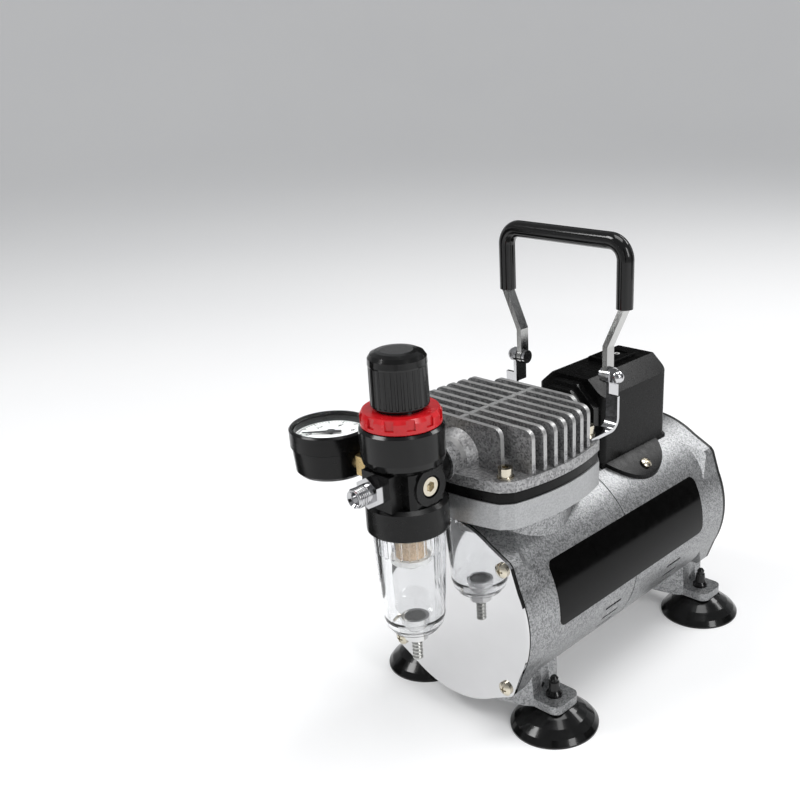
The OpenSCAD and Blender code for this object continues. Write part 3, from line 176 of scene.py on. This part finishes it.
def node(material, kind, **settings):
    made = material.node_tree.nodes.new(kind)
    for key, value in settings.items():
        if hasattr(made, key):
            setattr(made, key, value)
        else:
            made.inputs[key.replace("_", " ")].default_value = value
    return made


def join(material, source, target):
    material.node_tree.links.new(source, target)


def shader_of(material):
    return material.node_tree.nodes["Principled BSDF"]


def noise(material, scale, detail=3.0, stretch=(1, 1, 1), kind="noise"):
    """A noise value in 0 to 1, with scale in features per metre."""
    place = node(material, "ShaderNodeTexCoord")
    turn = node(material, "ShaderNodeMapping")
    turn.inputs["Scale"].default_value = stretch
    join(material, place.outputs["Object"], turn.inputs["Vector"])
    if kind == "cells":
        grain = node(material, "ShaderNodeTexVoronoi")
        grain.inputs["Scale"].default_value = scale
        join(material, turn.outputs["Vector"], grain.inputs["Vector"])
        spread = node(material, "ShaderNodeSeparateColor")
        join(material, grain.outputs["Color"], spread.inputs["Color"])
        return spread.outputs["Red"]
    grain = node(material, "ShaderNodeTexNoise")
    grain.inputs["Scale"].default_value = scale
    grain.inputs["Detail"].default_value = detail
    join(material, turn.outputs["Vector"], grain.inputs["Vector"])
    return grain.outputs["Fac"]


def spread(material, value, low, high, span=(0.3, 0.7)):
    """Map a noise value's usual span to low and high."""
    ranged = node(material, "ShaderNodeMapRange")
    ranged.inputs["From Min"].default_value = span[0]
    ranged.inputs["From Max"].default_value = span[1]
    ranged.inputs["To Min"].default_value = low
    ranged.inputs["To Max"].default_value = high
    join(material, value, ranged.inputs["Value"])
    return ranged.outputs["Result"]


def blend_colors(material, value, first, second):
    mixed = node(material, "ShaderNodeMix", data_type="RGBA")
    for socket, paint in ((mixed.inputs[6], first), (mixed.inputs[7], second)):
        if isinstance(paint, tuple):
            socket.default_value = (*paint, 1)
        else:
            join(material, paint, socket)
    join(material, value, mixed.inputs["Factor"])
    return mixed.outputs[2]


def mottle(material, scale, dark, light, rough=None, detail=3.0, stretch=(1, 1, 1), kind="noise"):
    """Vary the colour between dark and light, and the roughness between two values."""
    value = noise(material, scale, detail, stretch, kind)
    span = (0.0, 1.0) if kind == "cells" else (0.3, 0.7)
    mix = blend_colors(material, spread(material, value, 0, 1, span), dark, light)
    join(material, mix, shader_of(material).inputs["Base Color"])
    if rough:
        join(material, spread(material, value, *rough, span), shader_of(material).inputs["Roughness"])
    return mix


def grain(material, scale, height, detail=3.0, stretch=(1, 1, 1), kind="noise"):
    """Raise the surface by noise: height is the depth of the relief in metres."""
    bump = node(material, "ShaderNodeBump")
    bump.inputs["Strength"].default_value = 1.0
    bump.inputs["Distance"].default_value = height
    join(material, noise(material, scale, detail, stretch, kind), bump.inputs["Height"])
    shader = shader_of(material)
    if shader.inputs["Normal"].is_linked:
        join(material, shader.inputs["Normal"].links[0].from_socket, bump.inputs["Normal"])
    join(material, bump.outputs["Normal"], shader.inputs["Normal"])
    return material


# %% [markdown]
# ### Metals
# The two housing castings are sprayed with a silver paint full of flakes: small cells, each a little
# lighter or darker, some of them dull and some bright. The head has the same glitter over a rougher
# cast skin, and the edges of its fins get a lighter colour: a painted highlight where they catch the lamps.

# %% Paint and cast metal
casting_paint = finish("casting_paint", (0.4, 0.41, 0.42), metallic=0.8, roughness=0.36)
mottle(casting_paint, 1350, (0.17, 0.173, 0.177), (0.44, 0.445, 0.45), (0.32, 0.46), kind="cells")
grain(casting_paint, 1300, 0.00006, detail=2)

head_casting = finish("head_casting", (0.3, 0.3, 0.31), metallic=0.7, roughness=0.42)
flakes = mottle(head_casting, 1200, (0.17, 0.17, 0.173), (0.46, 0.46, 0.463), (0.34, 0.5), kind="cells")
grain(head_casting, 900, 0.0001, detail=3)
head_low, head_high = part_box("cylinder_head")
flange_top = head_low[2] + 0.0057
where = node(head_casting, "ShaderNodeSeparateXYZ")
join(head_casting, node(head_casting, "ShaderNodeTexCoord").outputs["Object"], where.inputs["Vector"])
facing = node(head_casting, "ShaderNodeSeparateXYZ")
join(head_casting, node(head_casting, "ShaderNodeNewGeometry").outputs["Normal"], facing.inputs["Vector"])
edge_on = node(head_casting, "ShaderNodeMath", operation="ABSOLUTE")
join(head_casting, facing.outputs["Y"], edge_on.inputs[0])
narrow = spread(head_casting, edge_on.outputs["Value"], 1, 0, (0.2, 0.7))
above = spread(head_casting, where.outputs["Z"], 0, 1, (flange_top + 0.0045, flange_top + 0.0065))
# Painted highlight: fin edges, whose faces turn away from Y, above the flange and behind the boss, are
# mixed to a light grey.
fin_edge_highlight = node(head_casting, "ShaderNodeMath", operation="MULTIPLY")
join(head_casting, narrow, fin_edge_highlight.inputs[0])
behind = spread(head_casting, where.outputs["Y"], 0, 1, (head_low[1] + 0.006, head_low[1] + 0.0065))
past_boss = node(head_casting, "ShaderNodeMath", operation="MULTIPLY")
join(head_casting, above, past_boss.inputs[0])
join(head_casting, behind, past_boss.inputs[1])
join(head_casting, past_boss.outputs["Value"], fin_edge_highlight.inputs[1])
join(head_casting, blend_colors(head_casting, fin_edge_highlight.outputs["Value"], flakes, (0.46, 0.46, 0.455)),
     shader_of(head_casting).inputs["Base Color"])

cylinder_alloy = finish("cylinder_alloy", (0.45, 0.455, 0.46), metallic=0.7, roughness=0.4)
mottle(cylinder_alloy, 1700, (0.34, 0.345, 0.35), (0.46, 0.465, 0.47), (0.34, 0.46), kind="cells")
grain(cylinder_alloy, 900, 0.00003)

# %% Bright metals
def bright(name, color, roughness, streaks=(1, 1, 1), relief=0.000004):
    """A bare or plated metal with faint drawing lines along one direction."""
    metal = finish(name, color, metallic=1.0, roughness=roughness)
    dull = tuple(0.9 * c for c in color)
    mottle(metal, 160, dull, color, (roughness * 0.7, roughness * 1.5), stretch=streaks)
    return grain(metal, 700, relief, stretch=streaks)


polished_plate = finish("polished_plate", (0.66, 0.66, 0.665), metallic=1.0, roughness=0.04)
mottle(polished_plate, 30, (0.64, 0.64, 0.645), (0.68, 0.68, 0.685), (0.03, 0.06))
grain(polished_plate, 25, 0.00001, detail=1)
plated_screw = bright("plated_screw", (0.66, 0.61, 0.5), 0.2)
bracket_chrome = bright("bracket_chrome", (0.6, 0.6, 0.61), 0.08)
bar_steel = bright("bar_steel", (0.5, 0.5, 0.49), 0.16, streaks=(6, 6, 0.4))
outlet_chrome = bright("outlet_chrome", (0.55, 0.55, 0.56), 0.1)
drain_chrome = bright("drain_chrome", (0.66, 0.66, 0.66), 0.12)
brass = bright("brass", (0.62, 0.46, 0.22), 0.24)
bearing_steel = bright("bearing_steel", (0.68, 0.69, 0.7), 0.2)
lamination_steel = bright("lamination_steel", (0.4, 0.39, 0.38), 0.4, streaks=(1, 12, 1), relief=0.00003)
crank_steel = bright("crank_steel", (0.36, 0.37, 0.38), 0.45, relief=0.00003)
rod_alloy = bright("rod_alloy", (0.6, 0.61, 0.62), 0.4, relief=0.00002)
piston_alloy = bright("piston_alloy", (0.7, 0.71, 0.72), 0.3)
reed_steel = bright("reed_steel", (0.6, 0.64, 0.7), 0.2)
copper_winding = bright("copper_winding", (0.66, 0.3, 0.13), 0.35, streaks=(1, 8, 1), relief=0.0002)

# %% [markdown]
# ### Plastics and rubber
# Black pieces are never one black. The box has a satin moulded skin, the feet and the vinyl sleeve
# are glossy and catch the lamps, and the gaskets are dull. Each gets its own grain and gloss.

# %% Plastics and rubber
def moulded(name, dark, light, roughness, scale=250, relief=0.00001, grain_scale=2500, **sockets):
    plastic = finish(name, light, roughness=roughness, **sockets)
    mottle(plastic, scale, dark, light, (roughness * 0.85, roughness * 1.2))
    return grain(plastic, grain_scale, relief)


def black(name, depth, roughness, **sockets):
    """A deep black: depth is its lightness, and the faint mirror is kept low so that it stays deep."""
    sockets.setdefault("Specular_IOR_Level", 0.24)
    return moulded(name, (0.6 * depth,) * 3, (depth,) * 3, roughness, **sockets)


gasket_black = black("gasket_black", 0.006, 0.6, Specular_IOR_Level=0.12)
valve_plate_black = black("valve_plate_black", 0.005, 0.3, Specular_IOR_Level=0.15)
guard_black = black("guard_black", 0.014, 0.4)
foot_rubber = black("foot_rubber", 0.006, 0.16, Coat_Weight=0.25)
label_film = black("label_film", 0.003, 0.14, relief=0.000002, Specular_IOR_Level=0.12)
fan_plastic = black("fan_plastic", 0.03, 0.45)
piston_seal = moulded("piston_seal", (0.8, 0.79, 0.75), (0.88, 0.87, 0.84), 0.4)
switch_black = black("switch_black", 0.007, 0.24, relief=0.00001)
box_black = black("box_black", 0.004, 0.26, relief=0.000006, Specular_IOR_Level=0.12)
capacitor_shell = moulded("capacitor_shell", (0.72, 0.72, 0.7), (0.8, 0.8, 0.78), 0.3)
gland_black = black("gland_black", 0.012, 0.42)
rocker_black = black("rocker_black", 0.006, 0.16)
grip_vinyl = black("grip_vinyl", 0.006, 0.15, Coat_Weight=0.35)
nipple_black = black("nipple_black", 0.008, 0.24)
regulator_black = black("regulator_black", 0.007, 0.24, relief=0.000005)
bonnet_black = black("bonnet_black", 0.006, 0.16, relief=0.000003, Specular_IOR_Level=0.32)
ring_red = moulded("ring_red", (0.5, 0.006, 0.01), (0.62, 0.012, 0.018), 0.24, relief=0.000003)
knob_black = black("knob_black", 0.006, 0.14, relief=0.000003, Specular_IOR_Level=0.4)
gauge_black = black("gauge_black", 0.007, 0.2, relief=0.000004)
dial_white = moulded("dial_white", (0.82, 0.82, 0.8), (0.88, 0.88, 0.86), 0.45)
needle_black = moulded("needle_black", (0.01, 0.01, 0.01), (0.016, 0.016, 0.016), 0.4)
baffle_white = moulded("baffle_white", (0.78, 0.78, 0.76), (0.86, 0.86, 0.84), 0.38)
drain_dark = moulded("drain_dark", (0.004, 0.005, 0.005), (0.009, 0.011, 0.01), 0.3, Specular_IOR_Level=0.2)
drain_low, drain_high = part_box("drain_button")
height = node(drain_dark, "ShaderNodeSeparateXYZ")
join(drain_dark, node(drain_dark, "ShaderNodeTexCoord").outputs["Object"], height.inputs["Vector"])
bowl_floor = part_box("filter_bowl")[0][2]
plated = spread(drain_dark, height.outputs["Z"], 1, 0, (bowl_floor - 0.0005, bowl_floor))
cap_green = shader_of(drain_dark).inputs["Base Color"].links[0].from_socket
join(drain_dark, blend_colors(drain_dark, plated, cap_green, (0.5, 0.5, 0.48)),
     shader_of(drain_dark).inputs["Base Color"])
join(drain_dark, plated, shader_of(drain_dark).inputs["Metallic"])

# %% [markdown]
# ### Clear pieces
# A renderer draws a sharp shadow behind glass unless lamps are let through it, and then whatever is
# inside a bowl turns dark. Real thin plastic hardly dims the light. So a clear finish has two shaders:
# the eye sees the glass, and the lamps' rays pass through a nearly clear one.

# %% Clear and sintered pieces
def clear(name, color, ior, ripple):
    plastic = finish(name, color, roughness=0.0, IOR=ior, Transmission_Weight=1.0)
    grain(plastic, 60, ripple, detail=1)
    passes = node(plastic, "ShaderNodeBsdfTransparent")
    passes.inputs["Color"].default_value = (0.93, 0.94, 0.95, 1)
    rays = node(plastic, "ShaderNodeLightPath")
    both = node(plastic, "ShaderNodeMixShader")
    output = plastic.node_tree.nodes["Material Output"]
    join(plastic, rays.outputs["Is Shadow Ray"], both.inputs["Fac"])
    join(plastic, shader_of(plastic).outputs["BSDF"], both.inputs[1])
    join(plastic, passes.outputs["BSDF"], both.inputs[2])
    join(plastic, both.outputs["Shader"], output.inputs["Surface"])
    return plastic


bowl_clear = clear("bowl_clear", (0.96, 0.965, 0.97), 1.5, 0.000004)
lens_clear = clear("lens_clear", (0.98, 0.99, 0.99), 1.12, 0.000002)
filter_bronze = finish("filter_bronze", (0.6, 0.42, 0.26), roughness=0.75)
mottle(filter_bronze, 1600, (0.5, 0.34, 0.2), (0.72, 0.54, 0.36), kind="cells")
grain(filter_bronze, 1600, 0.0003, detail=2)

floor_paint = finish("floor_paint", (0.86, 0.86, 0.86), roughness=0.6, Emission_Color=(1, 1, 1, 1),
                     Emission_Strength=0.13, Specular_IOR_Level=0.3)
mottle(floor_paint, 3, (0.87, 0.87, 0.875), (0.89, 0.89, 0.89))
floor_mesh.materials.append(floor_paint)
card_felt = moulded("card_felt", (0.01, 0.01, 0.01), (0.014, 0.014, 0.014), 0.95)
for card in cards:
    card.data.materials.append(card_felt)

# %% [markdown]
# ### Dressing the pieces
# The record names one finish for each piece. A finish here has the same name, so one loop dresses
# all of them.

# %% Dress the pieces
slots = {part["node"]: part["material_slot"] for part in frame["record"]["subparts"]}
for name, piece in nodes.items():
    piece.data.materials.clear()
    piece.data.materials.append(bpy.data.materials[slots[name]])
print("dressed", len(slots), "pieces in", len(set(slots.values())), "finishes")

# %% [markdown]
# ## Small parts that repeat
# The marks on the dial, the ribs in the bowl and the thread of the air outlet are one shape repeated
# by a rule. Geometry Nodes suit that: one tree makes a ring of bars, another winds a ridge, and their
# sizes are inputs. Each result is turned into a plain mesh, so the finished piece has no modifier.

# %% Build a tree and run it
def new_tree(name, sizes):
    """A geometry tree with one named number input for each size."""
    tree = bpy.data.node_groups.new(name, "GeometryNodeTree")
    for label, value in sizes.items():
        kind = "NodeSocketMaterial" if label == "Finish" else (
            "NodeSocketInt" if isinstance(value, int) else "NodeSocketFloat")
        tree.interface.new_socket(label, in_out="INPUT", socket_type=kind)
    tree.interface.new_socket("Geometry", in_out="OUTPUT", socket_type="NodeSocketGeometry")
    return tree, tree.nodes.new("NodeGroupInput"), tree.nodes.new("NodeGroupOutput")


def wire(tree, *pairs):
    for source, target in pairs:
        tree.links.new(source, target)


def math_node(tree, operation, first, second):
    made = tree.nodes.new("ShaderNodeMath")
    made.operation = operation
    for slot, value in zip(made.inputs, (first, second)):
        if isinstance(value, (int, float)):
            slot.default_value = value
        else:
            tree.links.new(value, slot)
    return made.outputs["Value"]


def close_tree(tree, geometry, group_in, group_out):
    """Every tree ends in real geometry with its finish."""
    real = tree.nodes.new("GeometryNodeRealizeInstances")
    paint = tree.nodes.new("GeometryNodeSetMaterial")
    wire(tree, (geometry, real.inputs["Geometry"]), (real.outputs["Geometry"], paint.inputs["Geometry"]),
         (group_in.outputs["Finish"], paint.inputs["Material"]),
         (paint.outputs["Geometry"], group_out.inputs["Geometry"]))


def grow(name, tree, sizes, place, body="housing"):
    """Run a tree on an empty mesh, keep the result as a plain mesh and put it in place."""
    seed = bpy.data.objects.new(name + "_seed", bpy.data.meshes.new(name + "_seed"))
    bpy.context.scene.collection.objects.link(seed)
    run = seed.modifiers.new("grow", "NODES")
    run.node_group = tree
    for item in tree.interface.items_tree:
        if item.item_type == "SOCKET" and item.in_out == "INPUT":
            run[item.identifier] = sizes[item.name]
    bpy.context.view_layer.update()
    mesh = bpy.data.meshes.new_from_object(seed.evaluated_get(bpy.context.evaluated_depsgraph_get()))
    seed.modifiers.remove(run)
    bpy.data.objects.remove(seed)
    mesh.transform(place)
    mesh.name = name
    piece = bpy.data.objects.new(name, mesh)
    bpy.context.scene.collection.objects.link(piece)
    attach(piece, body)
    print(name, len(mesh.polygons), "faces")
    return piece


# %% A ring of bars
bar_sizes = {"Count": 8, "Radius": 0.01, "Start": 0.0, "Step": 0.1, "Length": 0.002, "Width": 0.001,
             "Depth": 0.001, "Finish": needle_black}
bar_ring, ring_in, ring_out = new_tree("ring_of_bars", bar_sizes)
points = bar_ring.nodes.new("GeometryNodePoints")
index = bar_ring.nodes.new("GeometryNodeInputIndex")
bar = bar_ring.nodes.new("GeometryNodeMeshCube")
bar_size = bar_ring.nodes.new("ShaderNodeCombineXYZ")
reach = bar_ring.nodes.new("ShaderNodeCombineXYZ")
turn = bar_ring.nodes.new("ShaderNodeCombineXYZ")
shift = bar_ring.nodes.new("GeometryNodeTransform")
copies = bar_ring.nodes.new("GeometryNodeInstanceOnPoints")
angle = math_node(bar_ring, "MULTIPLY", index.outputs["Index"], ring_in.outputs["Step"])
angle = math_node(bar_ring, "ADD", angle, ring_in.outputs["Start"])
wire(bar_ring,
     (ring_in.outputs["Count"], points.inputs["Count"]),
     (ring_in.outputs["Length"], bar_size.inputs["X"]), (ring_in.outputs["Width"], bar_size.inputs["Y"]),
     (ring_in.outputs["Depth"], bar_size.inputs["Z"]), (bar_size.outputs["Vector"], bar.inputs["Size"]),
     (ring_in.outputs["Radius"], reach.inputs["X"]), (reach.outputs["Vector"], shift.inputs["Translation"]),
     (bar.outputs["Mesh"], shift.inputs["Geometry"]),
     (angle, turn.inputs["Z"]), (turn.outputs["Vector"], copies.inputs["Rotation"]),
     (points.outputs["Geometry"], copies.inputs["Points"]),
     (shift.outputs["Geometry"], copies.inputs["Instance"]))
close_tree(bar_ring, copies.outputs["Instances"], ring_in, ring_out)

# %% A wound ridge
ridge_sizes = {"Turns": 6.0, "Radius": 0.004, "Pitch": 0.001, "Ridge": 0.0005, "Finish": needle_black}
ridge, ridge_in, ridge_out = new_tree("wound_ridge", ridge_sizes)
spiral = ridge.nodes.new("GeometryNodeCurveSpiral")
spiral.inputs["Resolution"].default_value = 40
profile = ridge.nodes.new("GeometryNodeCurvePrimitiveCircle")
profile.inputs["Resolution"].default_value = 4
sweep = ridge.nodes.new("GeometryNodeCurveToMesh")
sweep.inputs["Fill Caps"].default_value = True
rise = math_node(ridge, "MULTIPLY", ridge_in.outputs["Turns"], ridge_in.outputs["Pitch"])
wire(ridge,
     (ridge_in.outputs["Turns"], spiral.inputs["Rotations"]),
     (ridge_in.outputs["Radius"], spiral.inputs["Start Radius"]),
     (ridge_in.outputs["Radius"], spiral.inputs["End Radius"]), (rise, spiral.inputs["Height"]),
     (ridge_in.outputs["Ridge"], profile.inputs["Radius"]),
     (spiral.outputs["Curve"], sweep.inputs["Curve"]),
     (profile.outputs["Curve"], sweep.inputs["Profile Curve"]))
close_tree(ridge, sweep.outputs["Mesh"], ridge_in, ridge_out)

# %% [markdown]
# ### The dial
# The needle turns over a printed scale of 270 degrees: eleven long marks, four short ones between each
# pair, and plain numbers. The marks are thin bars that stand 0.1 mm above the white plate.

# %% Marks and numbers on the dial
dial_low, dial_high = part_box("gauge_dial")
dial_middle = Vector(((dial_low[0] + dial_high[0]) / 2, (dial_low[1] + dial_high[1]) / 2, dial_high[2]))
dial_r = (dial_high[0] - dial_low[0]) / 2
on_dial = Matrix.Translation(dial_middle)
first_mark = math.radians(225)
sweep_step = math.radians(-270) / 10
grow("dial_long_marks", bar_ring, {"Count": 11, "Radius": dial_r * 0.88, "Start": first_mark,
     "Step": sweep_step, "Length": dial_r * 0.16, "Width": 0.00045, "Depth": 0.0002,
     "Finish": needle_black}, on_dial)
grow("dial_short_marks", bar_ring, {"Count": 51, "Radius": dial_r * 0.92, "Start": first_mark,
     "Step": sweep_step / 5, "Length": dial_r * 0.08, "Width": 0.0002, "Depth": 0.0002,
     "Finish": needle_black}, on_dial)


def flat_text(name, words, size, place, paint, body):
    """Plain characters as a thin mesh, centred on the place."""
    curve = bpy.data.curves.new(name, "FONT")
    curve.body, curve.size, curve.extrude = words, size, 0.0001
    curve.align_x, curve.align_y = "CENTER", "CENTER"
    draft = bpy.data.objects.new(name + "_draft", curve)
    bpy.context.scene.collection.objects.link(draft)
    bpy.context.view_layer.update()
    mesh = bpy.data.meshes.new_from_object(draft.evaluated_get(bpy.context.evaluated_depsgraph_get()))
    bpy.data.objects.remove(draft)
    mesh.transform(place)
    mesh.materials.clear()
    mesh.materials.append(paint)
    piece = bpy.data.objects.new(name, mesh)
    bpy.context.scene.collection.objects.link(piece)
    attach(piece, body)
    return piece


for k in range(0, 11, 2):
    a = first_mark + sweep_step * k
    spot = dial_middle + Vector((math.cos(a), math.sin(a), 0)) * dial_r * 0.62
    flat_text(f"dial_number_{k}", str(k), dial_r * 0.27, Matrix.Translation(spot), needle_black, "housing")

# %% [markdown]
# ### The outlet thread
# A hose nut screws onto the outlet. The solid frame has a plain pin there, at the thread's outer
# size. Here a copy of the fitting has its pin turned down to the thread's root, and a wound ridge
# brings it back out to the same size.

# %% Thread on the air outlet
def merged_copy(source_name, copy_name):
    """A copy of a frame piece with its loose triangles joined."""
    mesh = nodes[source_name].data.copy()
    mesh.name = copy_name
    built = bmesh.new()
    built.from_mesh(mesh)
    bmesh.ops.remove_doubles(built, verts=built.verts, dist=0.000002)
    built.to_mesh(mesh)
    built.free()
    copy = bpy.data.objects.new(copy_name, mesh)
    bpy.context.scene.collection.objects.link(copy)
    return copy


fit_low, fit_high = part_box("outlet_fitting")
pin = next(mount["dims"] for mount in frame["record"]["mounts"] if mount["name"] == "air_outlet")
pin_r, pin_len = pin["r_mm"] / 1000, pin["length_mm"] / 1000
axis = Vector(((fit_low[0] + fit_high[0]) / 2, 0, (fit_low[2] + fit_high[2]) / 2))
turned = merged_copy("outlet_fitting", "outlet_turned")
for corner in turned.data.vertices:
    off = Vector((corner.co.x - axis.x, 0, corner.co.z - axis.z))
    if corner.co.y < fit_low[1] + pin_len - 0.0002 and off.length > pin_r - 0.0004:
        corner.co -= off.normalized() * 0.0006
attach(turned, "housing")
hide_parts("outlet_fitting")
turned.data.materials.clear()
turned.data.materials.append(outlet_chrome)
grow("outlet_thread", ridge, {"Turns": 6.4, "Radius": pin_r - 0.0006, "Pitch": 0.00105, "Ridge": 0.0006,
     "Finish": outlet_chrome},
     Matrix.Translation((axis.x, fit_low[1] + 0.0008, axis.z)) @ Matrix.Rotation(math.radians(-90), 4, "X"))

# %% [markdown]
# ### The bowl's inner ribs
# Moulded ribs stiffen the top of the clear bowl and keep the filter in the middle. They are bars in a
# ring, inside the wall.

# %% Ribs in the bowl
bowl_low, bowl_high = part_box("filter_bowl")
bowl_axis = Vector(((bowl_low[0] + bowl_high[0]) / 2, (bowl_low[1] + bowl_high[1]) / 2, 0))
collar_low, collar_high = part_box("regulator_body")
rib_top = collar_low[2]
inner_r = (bowl_high[0] - bowl_low[0]) / 2 - 0.0036
grow("bowl_ribs", bar_ring, {"Count": 24, "Radius": inner_r, "Start": 0.0, "Step": math.radians(15),
     "Length": 0.0012, "Width": 0.0007, "Depth": 0.010, "Finish": bowl_clear},
     Matrix.Translation((bowl_axis.x, bowl_axis.y, rib_top - 0.0065)))

# %% [markdown]
# ### Marks on the rocker
# The two plain signs for on and off, a bar and a ring, are printed on the rocker's faces.

# %% Bar and ring on the rocker
pivot = next(j["pos_m"] for j in frame["record"]["behaviour"]["joints"] if j["name"] == "rocker_tip")
rest_tilt, face_slope = math.radians(-9), math.radians(9.8)
at_pivot = Matrix.Translation(pivot) @ Matrix.Rotation(rest_tilt, 4, "X")
for words, side in (("I", -1), ("O", 1)):
    face = Matrix.Translation((0, side * 0.0042, 0.00405)) @ Matrix.Rotation(side * face_slope, 4, "X")
    flat_text(f"rocker_mark_{words}", words, 0.0042, at_pivot @ face, dial_white, "rocker_body")
